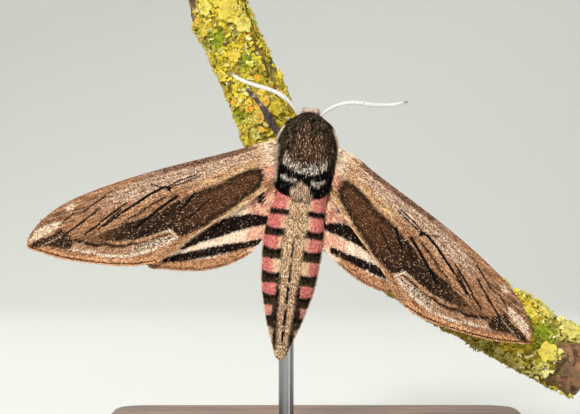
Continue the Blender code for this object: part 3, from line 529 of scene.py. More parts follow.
def formRings(form, shrink, steps, sides, segments=False):
    first, last = form[0][0], form[-1][0]
    stations = np.linspace(first, last, steps)
    rows = curveRows(form, stations)
    angles = turnsOf(sides)
    power = 2 / body["square"]
    cosines = np.sign(np.cos(angles)) * np.abs(np.cos(angles)) ** power
    sines = np.sign(np.sin(angles)) * np.abs(np.sin(angles)) ** power
    middle, half, top, bottom = rows.T
    swell = np.zeros(steps)
    if segments:  # each segment's rear edge stands a little over the next one's front
        gaps = segmentEdges[None, :] - stations[:, None]
        behind = np.where(gaps > 0, gaps, 9).min(axis=1)
        ahead = np.where(gaps <= 0, -gaps, 9).min(axis=1)
        swell = -0.17 * np.exp(-behind / 0.4) + 0.07 * np.exp(-ahead / 0.5)
    half = np.maximum(half - shrink + swell, 0.02)
    high = np.maximum((top - bottom) / 2 - shrink + swell, 0.02)
    rings = np.stack([middle[:, None] + half[:, None] * cosines, np.repeat(stations[:, None], sides, 1),
                      ((top + bottom) / 2)[:, None] + high[:, None] * sines], -1)
    inner = rings[1:-1]
    inner[:, :, 1] = np.clip(inner[:, :, 1], min(first, last) + shrink, max(first, last) - shrink)
    return inner


def ballRings(middle, radii, rows, sides):
    turns = np.linspace(0.04, math.pi - 0.04, rows)
    angles = turnsOf(sides)
    shape = np.stack([np.sin(turns)[:, None] * np.cos(angles), np.sin(turns)[:, None] * np.sin(angles),
                      np.repeat(np.cos(turns)[:, None], sides, 1)], -1)
    return np.array(middle) + shape * np.array(radii)


def joinShapes(name, shapes):
    points, faces, start = [], [], 0
    for shapePoints, shapeFaces in shapes:
        points.append(shapePoints)
        faces += [tuple(i + start for i in face) for face in shapeFaces]
        start += len(shapePoints)
    piece = meshPiece(name, toWorld(np.vstack(points)), faces)
    faceOut(piece)
    return piece


def angleAbout(points):  # round the body, 0 on its right and 90 degrees on its back
    thorax, abdomen = curveRows(thoraxForm, points[:, 1]), curveRows(abdomenForm, points[:, 1])
    rear = ramp(-points[:, 1], 7.5, 9.0)[:, None]
    row = thorax * (1 - rear) + abdomen * rear
    return np.arctan2((points[:, 2] - (row[:, 2] + row[:, 3]) / 2) / np.maximum((row[:, 2] - row[:, 3]) / 2, 0.3),
                      (points[:, 0] - row[:, 0]) / np.maximum(row[:, 1], 0.3))


def bodyUnwrap(roots):
    points = toMoth(roots)
    return inMap(np.column_stack([angleAbout(points) / math.tau + 0.5, (points[:, 1] + 42) / 51]))


def bodyMarks(points):  # how much of each colour the body has at each point
    x, y, z = points.T
    angle = angleAbout(points)
    jog = np.array([noise.noise(Vector(p) * 1.3) for p in points])
    fine = np.array([noise.noise(Vector(p) * 3.1 + Vector((7, 3, 1))) for p in points])
    wave = 0.45 * jog + 0.3 * fine
    above = ramp(np.sin(angle), -0.15, 0.2)
    onAbdomen = ramp(-y + 0.25 * wave, 9.2, 9.6)
    onHead = (ramp(-z, -0.6, 0.4) * ramp(y, 4.4, 5.2)) * (ramp(y, 5.6, 6.2) + ramp(-z, 0.8, 1.6)).clip(0, 1)
    # abdomen
    xMiddle = curveRows(abdomenForm, y)[:, 0]
    across = np.abs(x - xMiddle - 0.15)
    bands = ((-11.65, -12.6), (-15.1, -16.75), (-19.0, -21.15), (-23.6, -25.75), (-27.8, -30.1), (-31.8, -34.2),
             (-35.9, -37.4))
    stripeHalf = np.interp(-y, (8, 11, 14, 18, 22, 25.5, 28, 32, 35.5),
                           (1.6, 1.65, 1.95, 2.05, 2.0, 1.7, 1.5, 1.45, 1.15))
    bow = (1 - ((across - stripeHalf - 1.6) / 1.7) ** 2).clip(0, 1)  # the pink patches are rounded
    black = worn = np.zeros(len(points))
    for front, rear in bands:
        worn = np.maximum(worn, ramp(front - 0.4 * bow - y, 0.3, 1.5) * (y > rear - 0.6))
        black = np.maximum(black, ramp(front + 0.12 - 0.4 * bow * (rear < -13) - y + 0.5 * wave, -0.15, 0.15)
                           * ramp(y - rear + 0.3 * (1 - bow) * (rear < -25) - 0.3 * wave, -0.15, 0.15))
    stripe = ramp(stripeHalf - across + 0.5 * wave, -0.3, 0.3) * above
    tail = ramp(-y + 0.5 * wave, 38.0, 39.5)
    innerDark = (ramp(stripeHalf + 0.8 + 0.55 * ramp(-y, 27, 33) + 0.5 * wave - across, -0.08, 0.12)
                 * ramp(-y + 0.4 * wave, 25.6, 26.4) * above)
    black = np.maximum(black, 0.97 * innerDark)
    fromEdge = np.abs(y[:, None] - segmentEdges[None, :]).min(axis=1)
    median = (ramp(0.19 + 0.09 * ramp(-y, 22, 26) + 0.12 * fine - np.abs(x - xMiddle - 0.1), -0.06, 0.08)
              * ramp(-y, 16.5, 18) * above * ramp(fromEdge, 0.2, 0.6) * ramp(y, -37.6, -36.6))
    thinLine = np.zeros(len(points))
    for edge in segmentEdges[1:]:
        thinLine = np.maximum(thinLine, ramp(0.16 - np.abs(y - edge), -0.06, 0.06))
    shadeBehindTuft = 0.75 * stripe * ramp(0.4 + 0.3 * fine - np.abs(y + 9.7), -0.15, 0.2)  # painted shade behind the rear tuft
    under = ramp(-np.sin(angle), 0.35, 0.6)
    third = ramp(-y, 20.6, 21.4) * (1 - ramp(-y, 25.4, 26.0))
    pale = np.clip(0.85 * ramp(stripeHalf + 0.8 + 0.3 * wave - across, -0.5, 0.4) * (1 - ramp(-y, 25, 27))
                   + third * ramp(stripeHalf + 1.5 + 0.4 * wave - across, -0.3, 0.4) + 0.35 * ramp(-y, 29, 31)
                   + ramp(-y, 34.0, 35.0), 0, 1)
    fields = {
        "black": onAbdomen * black * (1 - 0.96 * stripe) * (1 - under) * (1 - tail)
            * (1 - ramp(-y, 34.3, 35.2) * ramp(across + 0.4 * fine, 1.9, 2.2)),
        "cream": onAbdomen * ramp(0.2 + 0.1 * fine - np.abs(np.sin(angle) - 0.12), -0.05, 0.06)
            * ramp(-y, 17, 20) * 0.9,
        "stripe": onAbdomen * np.maximum(stripe, tail),
        "line": onAbdomen * np.maximum.reduce([median, thinLine * stripe * 0.35, shadeBehindTuft]),
        "pale": onAbdomen * pale,
        "worn": worn,
        "pink": onAbdomen * (1 - stripe) * (1 - under),
        "under": under * (1 - onHead),
    }
    # thorax
    onThorax, flat = 1 - onAbdomen, points[:, :2]
    behindRidge = np.interp(x, *zip(*ridgeLine)) + 0.25 * wave - y  # how far behind the pale fringe's edge
    ragged = 0.5 * fine + 0.3 * jog
    fringe = ((1 - ramp(-behindRidge, 0.1, 3.0 + ragged)) * ramp(-behindRidge, -0.25, 0.05)
              * ramp(4.4 - np.abs(x), 0.0, 0.5))
    bars = lineDistance(flat, ((-3.7, -5.1), (-2.7, -5.75), (-1.5, -5.65)))
    bars = np.minimum(bars, lineDistance(flat, ((1.9, -5.8), (2.9, -6.15), (3.8, -5.45))))
    bar = ramp(0.3 + 0.55 * fine - bars, -0.2, 0.25)
    tuft = ramp(-regionDistance(flat, rearTuft) + 0.35 * fine, -0.25, 0.3)
    disc = ramp(-regionDistance(flat, discEdge) + 0.9 * wave, -0.6, 0.9)
    brow = ramp(1.0 - np.hypot((x + 0.83) / 1.5, (y - 4.53) / 1.0) + 0.35 * fine, -0.1, 0.6)
    sideLines = np.minimum(lineDistance(flat, ((2.8, 2.74), (3.15, 2.0), (3.1, 0.18), (3.3, -1.2))),
                           lineDistance(flat, ((-2.24, 3.2), (-2.89, 2.09), (-2.92, 0.13), (-3.4, -1.0))))
    flank = (ramp(np.sin(angle), -0.35, -0.1)
             * ramp(0.33 + 0.06 * jog + 0.16 * ramp(-x, 3, 4) * ramp(2 - y, 0, 1) - np.sin(angle), -0.05, 0.07))
    flank = flank * ramp(y, -6.0, -5.0) * ramp(5.0 - y, 0.0, 0.7)
    fields["warm"] = onThorax * above * ramp(0.12 + 0.22 * fine - sideLines, -0.06, 0.12)
    fields["white"] = onThorax * bar * above
    fields["cream"] = np.maximum(fields["cream"], onThorax * flank)
    fields["fringe"] = onThorax * above * fringe
    fields["disc"] = onThorax * above * np.maximum(disc, 0.75 * brow)
    fields["tan"] = onThorax * above * tuft
    fields["dark"] = onThorax * ramp(behindRidge, -0.05, 0.25) * above
    pastLobes = ramp(regionDistance(flat, lobeEdge) + 0.3 * fine, -0.1, 0.2) * ramp(-y, 4.0, 5.0)
    fields["pink"] = np.maximum(fields["pink"], onThorax * above * pastLobes * (1 - tuft))
    fields["head"] = onHead * onThorax
    return fields


def lieOver(points):  # which way the body's hair lies, in the moth's frame
    x, y, z = points.T
    lie = np.column_stack([0.10 * np.sign(x) * ramp(np.abs(x), 0.5, 4), -np.ones(len(x)), 0.0 * x])
    front = ramp(y, 5.3, 7.0)[:, None]
    lie = lie * (1 - front) + front * np.column_stack([0.5 * x, -0.4 + 0 * x, 0.9 * (z - 1.0)])
    flank = (ramp(np.abs(x), 4.6, 5.6) * ramp(z, -1.5, 0.0) * ramp(3.2 - z, 0, 0.8) * ramp(y, -6, -4)
             * ramp(4.6 - y, 0, 1))[:, None]
    lie = lie * (1 - flank) + flank * np.column_stack([0.9 * np.sign(x), -1.0 + 0 * x, -0.15 + 0 * x])
    onPalp = (ramp(-z, 0.3, 0.9) * ramp(y, 5.9, 6.4))[:, None]
    return lie * (1 - onPalp) + onPalp * np.column_stack([0.1 * np.sign(x), 0.2 + 0 * x, np.ones(len(x))])


def makeBodySkin():
    shapes = [lathe(formRings(thoraxForm, body["thoraxDepth"], *body["thoraxRings"])),
              lathe(formRings(abdomenForm, body["abdomenDepth"], *body["abdomenRings"], segments=True)),
              lathe(ballRings(headBall["middle"], np.array(headBall["radii"]) - 0.25, 24, 36)),
              lathe(ballRings((0.0, 7.0, -0.9), (0.9, 0.8, 0.95), 14, 24))]
    for side in (-1, 1):
        line = curveThrough([(side * px, py, pz) for px, py, pz in palpLine], 20)
        radii = np.interp(np.linspace(0, 8, 20), range(9), palpRadii) - 0.06
        shapes.append(lathe(tubeRings(line, np.maximum(radii, 0.08), 16)))
        shapes.append(lathe(tubeRings([(side * 1.0, 4.9, -1.2), (side * 1.25, 5.3, -0.5), (side * 1.5, 5.6, 0.0)],
                                      (0.55, 0.5, 0.34), 14)))  # the feeler's thick first joint
    rough = joinShapes("bodyRough", shapes)
    remesh = rough.modifiers.new("remesh", "REMESH")
    remesh.mode, remesh.voxel_size = "VOXEL", body["voxel"]
    even = rough.modifiers.new("even", "SMOOTH")
    even.factor, even.iterations = 0.5, 4
    bpy.context.view_layer.update()
    mesh = bpy.data.meshes.new_from_object(rough.evaluated_get(bpy.context.evaluated_depsgraph_get()))
    bpy.data.objects.remove(rough)
    mesh.name = "bodySkin"
    mesh.shade_smooth()
    points = toMoth(pointsOf(mesh))
    marks = bodyMarks(points)
    x, y, z = points.T
    marks["furLie"] = lieOver(points) @ mothAxes
    hood = ramp(y, 4.8, 6.2) * ramp(z, 0.4, 1.2)
    rear = ramp(-y, 5.5, 8.5) * (1 - ramp(-y, 9.2, 9.6)) * ramp(z, 0.5, 2) * ramp(1.9 - np.abs(x), -0.3, 0.4)
    eyes = [np.array(eyeBall["middle"]) * (side, 1, 1) for side in (-1, 1)]
    inEye = np.min([np.linalg.norm(points - eye, axis=1) for eye in eyes], axis=0)
    marks["furDensity"] = ramp(inEye, 1.45, 1.6) * np.where(-y > 9.4, 1.0, 0.9)
    flank = ramp(np.abs(x), 4.4, 5.2) * ramp(3.2 - z, 0, 0.8) * ramp(z, -1.2, 0.2)
    marks["furLength"] = 0.75 + 0.5 * rear + 0.8 * flank * (y > -6) - 0.25 * hood - 0.45 * marks["head"]
    marks["furLift"] = 0.8 + 0.3 * rear + 0.1 * flank
    marks["hairChance"] = luckOf(len(points))
    giveFields(mesh, marks)
    return addObject("bodySkin", mesh)


def coatFinish():
    fur = Finish("bodyFur", Roughness=0.85, Specular_IOR_Level=0.08)
    luck = fur.field("hairChance")
    grain, coarse = fur.grain(2600, 2), fur.grain(700, 3)
    fur.top = fur.mix(coarse.rise(0.35, 0.7), "171210", "443a30")
    fur.lay(luck.rise(0.7, 0.9) * 0.7, "7a6854")
    fur.lay(luck.fall(0.2, 0.4) * 0.7, "0c0908")
    brown = fur.mix(luck.rise(0.2, 0.7), "1f140e", "64493a")
    brown = fur.mix(luck.rise(0.72, 0.82) * 0.85, brown, "a07f68")
    brown = fur.mix(luck.rise(0.93, 0.96), brown, "d6b9a2")
    fur.lay(fur.field("disc") * (0.6 + 0.4 * luck), brown)
    fur.lay(fur.field("warm") * 0.5 * luck.rise(0.2, 0.6), "7d4c2e")
    fur.lay(fur.field("dark"), fur.mix(grain, "020202", "0c0909"))
    pale = fur.mix(grain.rise(0.35, 0.6), "a88c7a", "ffffff")
    fur.lay((luck + 0.55 * fur.field("fringe")).rise(0.96, 1.04), pale)
    tan = fur.mix(luck.rise(0.1, 0.35), "4c3527", fur.mix(luck.rise(0.4, 0.8), "bb8e70", "fff0e2"))
    fur.lay(fur.field("tan"), fur.mix(grain.rise(0.58, 0.7) * 0.7, tan, "6b4a35"))
    white = fur.mix(luck.rise(0.15, 0.5), "2a211d", "f3ece5")
    fur.lay(fur.field("white"), white)
    pink = fur.mix(grain.rise(0.3, 0.7), "dc6672", "f6a4a0")
    pink = fur.mix(fur.field("pale"), pink, fur.mix(luck, "efbf98", "fff0d4"))
    pink = fur.mix(luck.rise(0.86, 0.92) * 0.7, pink, "f7e3cd")
    fur.lay(fur.field("pink"), pink)
    stripe = fur.mix(luck.rise(0.1, 0.8), "b8824f", "f6dcb4")
    stripe = fur.mix(coarse.rise(0.5, 0.62) * 0.45, stripe, "a87850")
    stripe = fur.mix(luck.rise(0.74, 0.84) * 0.9, stripe, "fff6e8")
    stripe = fur.mix(luck.fall(0.14, 0.2) * 0.85 + grain.rise(0.58, 0.66) * 0.4, stripe, "543826")
    fur.lay(fur.field("stripe"), stripe)
    black = fur.mix(fur.field("worn") * luck.rise(0.2, 0.7) * 0.8, "050303", "5a4c3a")
    fur.lay(fur.field("black"), fur.mix(luck.rise(0.8, 0.9) * 0.4, black, "85705a"))
    fur.lay(fur.field("cream"), fur.mix(luck.rise(0.1, 0.4), "cdb09a", "fdf5ea"))
    # dark lines on the abdomen: its middle line, faint lines at the segment edges, and painted shade behind the
    # rear tuft
    fur.lay(fur.field("line"), "1a120e")
    belly = fur.mix(coarse, "b98f80", "dcbcae")
    fur.lay(fur.field("under"), belly)
    face = fur.mix(luck.rise(0.1, 0.7), "cfb4a6", "faeee6")
    face = fur.mix(coarse.rise(0.58, 0.68) * 0.8, face, "7a5a4b")
    fur.lay(fur.field("head"), face)
    fur.lay(0.7, fur.mix(luck, (0.55, 0.46, 0.36), (1.65, 1.45, 1.2)), "MULTIPLY")
    fur.colour(fur.top)
    fur.bump(fur.grain(5200, 2), 0.5, 0.00008)
    return fur.material


bodySkin = makeBodySkin()
furMaterial = coatFinish()
finishPiece(bodySkin, furMaterial, ("head", "thorax", "abdomen", "palp_left", "palp_right"))
bodyCoat = {"Thickness": 0.00004, "Lift": 0.30, "Spread": 0.28}
print("body skin", len(bodySkin.data.polygons))


coatParts = {  # name: which points, tufts to the square millimetre, length, width
    "thoraxCoatUpper": (lambda p: (p[:, 1] > -9.55) & (p[:, 2] > 1.0), 108, 1.1, 0.14),
    "thoraxCoatLower": (lambda p: (p[:, 1] > -9.0) & (p[:, 2] <= 1.2), 44, 1.15, 0.19),
    "abdomenCoatUpper": (lambda p: (p[:, 1] <= -9.1) & (p[:, 2] > -1.4), 56, 0.62, 0.15),
    "abdomenCoatLower": (lambda p: (p[:, 1] <= -9.1) & (p[:, 2] <= -1.2), 28, 0.75, 0.22),
}
for coatName, (keep, density, length, width) in coatParts.items():
    part = partOf(bodySkin, keep(toMoth(pointsOf(bodySkin.data))))
    growCoat(coatName, part, hairTuft, {**bodyCoat, "Density": density * 1e6, "Length": length * 0.001,
                                         "Width": width * 0.001, "Seed": len(coatName)},
             furMaterial, bodyUnwrap)
    bpy.data.objects.remove(part)
print("body coats")

# the wings: thin sheets with their veins raised, the scales that cover them, and the fringe

wings = {
    "hinge": (6.45, -2.4, 1.6), "sweep": {-1: 25.0, 1: 35.0}, "droop": 6.0, "span": 45.0,  # mm and degrees
    "curl": 0.6, "drop": 1.35, "thickness": 0.09, "vein": 0.13,
    "foreGrid": (280, 96), "hindGrid": (130, 84),
}
# a forewing's u runs to its tip and v to its leading edge
foreLead = ((5.0, 3.65), (10.0, 4.0), (15.0, 4.45), (20.0, 4.85), (25.0, 5.1), (30.0, 5.2), (35.0, 5.1),
            (40.0, 4.7), (44.2, 3.7), (47.5, 2.2), (49.9, 0.3), (50.5, -0.75))
foreTrail = ((2.6, -5.2), (5.0, -6.1), (9.0, -7.1), (13.5, -8.1), (18.0, -9.1), (21.4, -10.2), (24.6, -11.4),
             (27.5, -11.6), (31.6, -10.95), (36.1, -9.3), (40.1, -7.5), (44.4, -5.3), (48.0, -2.85), (49.9, -1.45),
             (50.5, -0.75))
foreVeins = {
    "subcosta": ((0.9, 2.6), (10.0, 3.2), (20.0, 4.0), (29.0, 4.7)),
    "radius": ((0.9, 1.2), (8.0, 1.8), (15.0, 2.4), (20.3, 2.5)),
    "radius1": ((13.0, 2.3), (22.0, 3.3), (30.0, 3.9), (35.5, 4.6)),
    "radius3": ((20.3, 2.5), (30.0, 2.9), (37.0, 3.5), (41.2, 3.8)),
    "radius4": ((31.0, 2.0), (40.0, 2.4), (44.8, 2.7)),
    "radius5": ((20.3, 2.0), (31.0, 2.0), (40.0, 1.3), (47.8, 0.6)),
    "medial1": ((20.1, 1.2), (30.0, 0.2), (40.0, -0.8), (47.6, -1.9)),
    "medial2": ((20.4, -0.2), (32.0, -2.2), (43.6, -4.6)),
    "medial3": ((20.0, -1.5), (30.0, -4.0), (40.0, -6.5)),
    "cubitus": ((0.9, -0.4), (6.0, -1.4), (12.5, -2.2), (18.5, -2.2), (20.0, -1.5)),
    "cubital1": ((18.5, -2.2), (27.0, -5.2), (36.0, -8.2)),
    "cubital2": ((12.5, -2.2), (22.0, -6.2), (31.2, -10.0)),
    "anal": ((1.4, -2.6), (8.0, -4.6), (16.0, -7.2), (25.2, -10.6)),
    "cellEnd": ((20.0, -1.5), (19.7, 0.6), (20.3, 2.5)),
}
# a hindwing is drawn in x outwards and y
hindLead = ((5.0, -5.0), (9.3, -8.0), (15.3, -11.8), (21.9, -16.7), (26.3, -21.2), (28.3, -24.0), (28.4, -24.8))
hindInnerEdge = {-1: ((4.2, -7.2), (4.5, -9.3), (4.9, -13.7), (5.5, -15.9), (6.3, -17.6), (7.2, -19.2)),
                 1: ((4.3, -7.2), (4.6, -9.3), (4.85, -13.7), (4.95, -15.9), (5.3, -17.9), (6.3, -19.5))}
hindTrail = ((8.4, -20.8), (10.4, -22.2), (13.9, -24.1), (17.6, -25.1), (21.0, -25.55), (24.5, -25.65),
             (27.7, -25.5), (28.4, -24.8))
hindVeins = {
    "radius": ((6.9, -5.9), (12.0, -9.9), (20.0, -16.2), (26.8, -22.4)),
    "sector": ((12.0, -9.9), (14.6, -13.2), (21.0, -19.0), (26.2, -24.6)),
    "medial1": ((14.0, -14.2), (19.0, -19.5), (23.0, -25.0)),
    "medial3": ((13.0, -14.6), (16.4, -19.5), (19.2, -24.8)),
    "cubital1": ((13.0, -14.6), (14.2, -19.5), (15.4, -24.0)),
    "cubital2": ((10.4, -11.6), (11.3, -17.0), (12.0, -22.3)),
    "cubitus": ((7.0, -6.9), (10.4, -11.6), (13.0, -14.6), (14.6, -13.2)),
    "anal": ((7.4, -9.2), (8.6, -14.5), (9.3, -20.0)),
}
# the forewing's markings
foreStreaks = (  # black lines: (half width, points)
    (0.2, ((21.3, 1.35), (24.3, 0.9), (26.7, 0.25), (28.7, -0.25), (29.8, -0.5))),
    (0.14, ((29.8, -0.5), (30.8, -0.75), (32.7, -1.45), (34.6, -2.1))),
    (0.14, ((29.1, 0.75), (31.1, 0.2), (33.0, -0.4), (34.7, -1.0), (36.1, -1.6), (37.6, -2.0), (38.6, -2.4))),
    (0.14, ((34.4, 1.5), (36.9, 0.57), (39.7, -0.33), (41.3, -0.83), (43.0, -1.43))),
    (0.26, ((19.3, -1.1), (21.5, -1.7), (23.9, -2.5), (25.5, -3.1), (26.8, -3.5), (28.5, -4.2))),
    (0.19, ((15.9, -1.6), (17.1, -2.45), (18.5, -3.25), (19.5, -3.75))),
    (0.09, ((13.4, -3.5), (16.0, -4.7), (18.4, -5.8))),
    (0.09, ((20.2, 1.2), (18.9, 1.5), (17.5, 1.62), (16.0, 1.6), (14.2, 1.7))),
    (0.08, ((19.8, 0.85), (18.4, 0.95), (16.2, 1.05), (14.0, 1.15))),
    (0.07, ((21.4, 1.4), (22.5, 2.1), (23.4, 2.7))),
    (0.1, ((21.5, -0.55), (24.0, -0.9), (26.0, -1.41), (27.7, -1.93), (29.8, -2.16))),
    (0.11, ((32.4, 3.4), (34.7, 2.8), (37.5, 1.9))),
    (0.07, ((24.5, -5.2), (28.0, -6.0), (31.5, -6.9))),
    (0.11, ((30.5, -0.1), (33.5, -1.3), (36.0, -2.3))),
    (0.1, ((39.5, 2.2), (41.5, 1.4), (43.0, 0.7))),
)
foreDiscal = ((20.35, 0.0), (19.85, 0.86), (20.4, 1.39), (21.4, 1.54), (21.5, 1.24), (20.75, 0.99), (20.55, 0.4))
foreDark = ((1.9, -1.5), (2.6, -0.95), (5.0, -0.6), (8.0, -0.9), (10.8, -1.4), (13.5, -1.4), (15.4, -1.5),
            (16.8, -1.7), (18.4, -1.9), (19.6, -2.0), (21.5, -2.3), (23.2, -2.8), (25.5, -3.1), (27.5, -2.9),
            (29.5, -2.8), (33.2, -3.1), (36.6, -3.6), (35.4, -4.6), (33.4, -5.6), (30.8, -6.2), (28.2, -6.7),
            (25.8, -6.9), (22.9, -6.9), (22.2, -7.6), (20.9, -8.9), (15.6, -8.2), (10.6, -6.9), (5.9, -5.3),
            (3.6, -4.8), (2.1, -3.6))
foreWavy = ((22.7, -7.71), (24.4, -7.31), (26.1, -7.41), (27.3, -7.51), (29.3, -7.35), (30.5, -6.95), (31.9, -7.0),
            (33.4, -6.64), (34.6, -6.08), (35.4, -5.48), (37.2, -5.22), (37.9, -4.74), (38.9, -4.24), (39.3, -3.66),
            (40.1, -3.41), (40.8, -2.85))
foreWhite = ((42.6, -3.91), (41.2, -4.71), (39.8, -5.52), (38.3, -6.03), (37.3, -7.04), (35.5, -7.8), (33.7, -8.48),
             (31.7, -9.06), (30.1, -9.12), (28.0, -9.32), (26.8, -9.37), (25.1, -9.27), (23.3, -8.87),
             (22.1, -8.42), (22.2, -7.56), (22.8, -6.93))
foreWhiteUpper = ((22.8, -6.93), (24.2, -6.78), (26.0, -6.88), (28.1, -6.9), (30.1, -6.59), (32.0, -6.29))
foreGrey = ((22.9, -7.9), (24.4, -7.6), (27.3, -7.7), (30.5, -7.3), (33.4, -6.9), (35.4, -5.8), (37.9, -5.1),
            (39.4, -4.1), (41.0, -3.2), (42.2, -3.6), (40.0, -5.2), (38.3, -5.8), (35.5, -7.4), (31.7, -8.7),
            (28.0, -9.0), (25.1, -8.9), (23.2, -8.5))
foreSmudge = ((32.0, -3.4), (36.6, -3.1), (40.0, -2.4), (42.5, -1.8), (44.0, -2.8), (41.5, -3.4), (38.0, -4.8),
              (35.0, -5.6))
foreAmber = ((19.9, 0.7), (21.0, 1.1), (24.3, 0.9), (28.7, -0.4), (33.0, -1.2), (36.5, -2.2), (39.0, -3.0),
             (36.6, -3.3), (32.0, -2.8), (28.0, -2.5), (24.0, -2.0), (21.0, -1.3), (19.6, -0.7))
foreApexPale = ((49.6, 0.0), (48.0, 1.25), (45.6, 1.75), (43.2, 1.7), (42.0, 1.0), (43.2, 0.5), (45.0, 0.1),
                (47.6, -0.3), (49.2, -0.55))
foreApexDark = ((50.0, -1.0), (48.9, -0.65), (46.8, -0.4), (45.2, -0.6), (44.0, -0.3), (42.9, 0.3), (42.0, -1.2),
                (41.4, -2.8), (42.2, -4.2), (43.4, -3.8), (45.0, -3.0), (46.4, -2.1), (48.0, -2.0), (49.4, -1.5))
foreCostal = ((3.0, 3.15), (9.0, 3.4), (12.4, 3.7), (15.5, 3.95), (17.5, 4.2), (20.0, 4.5))
foreShade = ((19.5, -0.5), (21.5, -0.65), (24.0, -1.1), (26.0, -1.7), (27.7, -2.1), (31.0, -2.7))
# u, v and size
foreBlots = ((42.2, 2.7, 0.8), (38.3, 2.4, 0.7), (44.6, 2.1, 0.5), (41.0, 1.5, 0.4), (35.0, 3.8, 0.5))
# the hindwing's markings
hindBand = ((4.4, -12.9), (7.5, -12.7), (10.8, -13.7), (14.0, -14.6), (16.2, -16.2), (19.5, -19.0), (22.0, -21.6),
            (21.0, -21.4), (18.0, -19.9), (14.5, -18.4), (11.6, -17.0), (8.2, -15.6), (4.6, -14.7))
hindOuter = ((6.2, -17.7), (9.5, -18.7), (13.0, -19.6), (17.0, -20.9), (21.0, -22.2), (25.2, -23.6), (25.3, -24.5),
             (21.0, -23.85), (16.5, -22.55), (12.0, -20.95), (9.0, -19.8), (6.6, -19.0))
hindInner = ((4.6, -15.4), (6.6, -15.9), (8.6, -17.0), (8.4, -18.4), (6.6, -18.0), (5.2, -17.2))
hindTuft = ((7.9, -8.7), (6.7, -8.4), (5.95, -9.15), (6.15, -10.5), (6.75, -10.9), (7.4, -9.7))


def foreUv(side, x, y):
    sweep = math.radians(wings["sweep"][side])
    out, fore = side * x - wings["hinge"][0], y - wings["hinge"][1]
    return np.stack([out * math.cos(sweep) - fore * math.sin(sweep),
                     out * math.sin(sweep) + fore * math.cos(sweep)], -1)


def forePlace(side, spots):
    sweep = math.radians(wings["sweep"][side])
    u, v = np.asarray(spots, float).T
    return np.stack([side * (wings["hinge"][0] + u * math.cos(sweep) + v * math.sin(sweep)),
                     wings["hinge"][1] - u * math.sin(sweep) + v * math.cos(sweep)], -1)


def wingLie(x):
    out = np.maximum(np.abs(x) - wings["hinge"][0], 0) / wings["span"]
    return wings["hinge"][2] - wings["droop"] * out**1.25


def nearestOf(spots, lines):
    return np.min([lineDistance(spots, line) for line in lines], axis=0)


def blotch(spots, scale, seed):  # slow random values over the wing
    return np.array([noise.noise(Vector((u * scale[0], v * scale[1], seed))) for u, v in spots])


def foreMarks(spots):  # distances in mm from the forewing's markings, negative inside them
    margin = lineDistance(spots, foreTrail[7:])
    streaks = np.min([lineDistance(spots, line) - half - 0.04 for half, line in foreStreaks], axis=0)
    outer = ramp(spots[:, 0], 20.5, 24.0)
    blots = [np.hypot(0.6 * (spots[:, 0] - u), spots[:, 1] - v) - size for u, v, size in foreBlots]
    return {
        "streak": np.minimum(streaks, regionDistance(spots, foreDiscal)),
        "darkPatch": regionDistance(spots, foreDark),
        "wavy": lineDistance(spots, foreWavy) - 0.13 - 0.17 * ramp(spots[:, 0], 29, 33),
        "white": lineDistance(spots, foreWhite) - 0.3, "upperLine": lineDistance(spots, foreWhiteUpper) - 0.24,
        "amber": regionDistance(spots, foreAmber), "smudge": regionDistance(spots, foreSmudge),
        "apexPale": np.minimum(regionDistance(spots, foreApexPale),
                               np.hypot(0.5 * (spots[:, 0] - 39.8), spots[:, 1] - 3.5) - 0.5),
        "apexDark": regionDistance(spots, foreApexDark),
        "margin": np.where(outer > 0.5, margin, 9.0),
        "costal": np.minimum(lineDistance(spots, foreCostal) - 0.5, lineDistance(spots, foreLead) - 0.2),
        "blots": np.min([lineDistance(spots, foreShade) - 0.28, *blots], axis=0),
        "inner": lineDistance(spots, foreTrail[:8]),
        "grey": regionDistance(spots, foreGrey),
    }


def hindMarks(spots):
    return {
        "band": np.minimum(regionDistance(spots, hindBand), regionDistance(spots, hindTuft) + 0.05),
        "outerBand": regionDistance(spots, hindOuter),
        "margin": lineDistance(spots, hindTrail),
        "pinkRoot": np.minimum(np.hypot(spots[:, 0] - 5.2, 0.8 * (spots[:, 1] + 9.6)) - 4.2,
                               regionDistance(spots, hindInner)),
    }


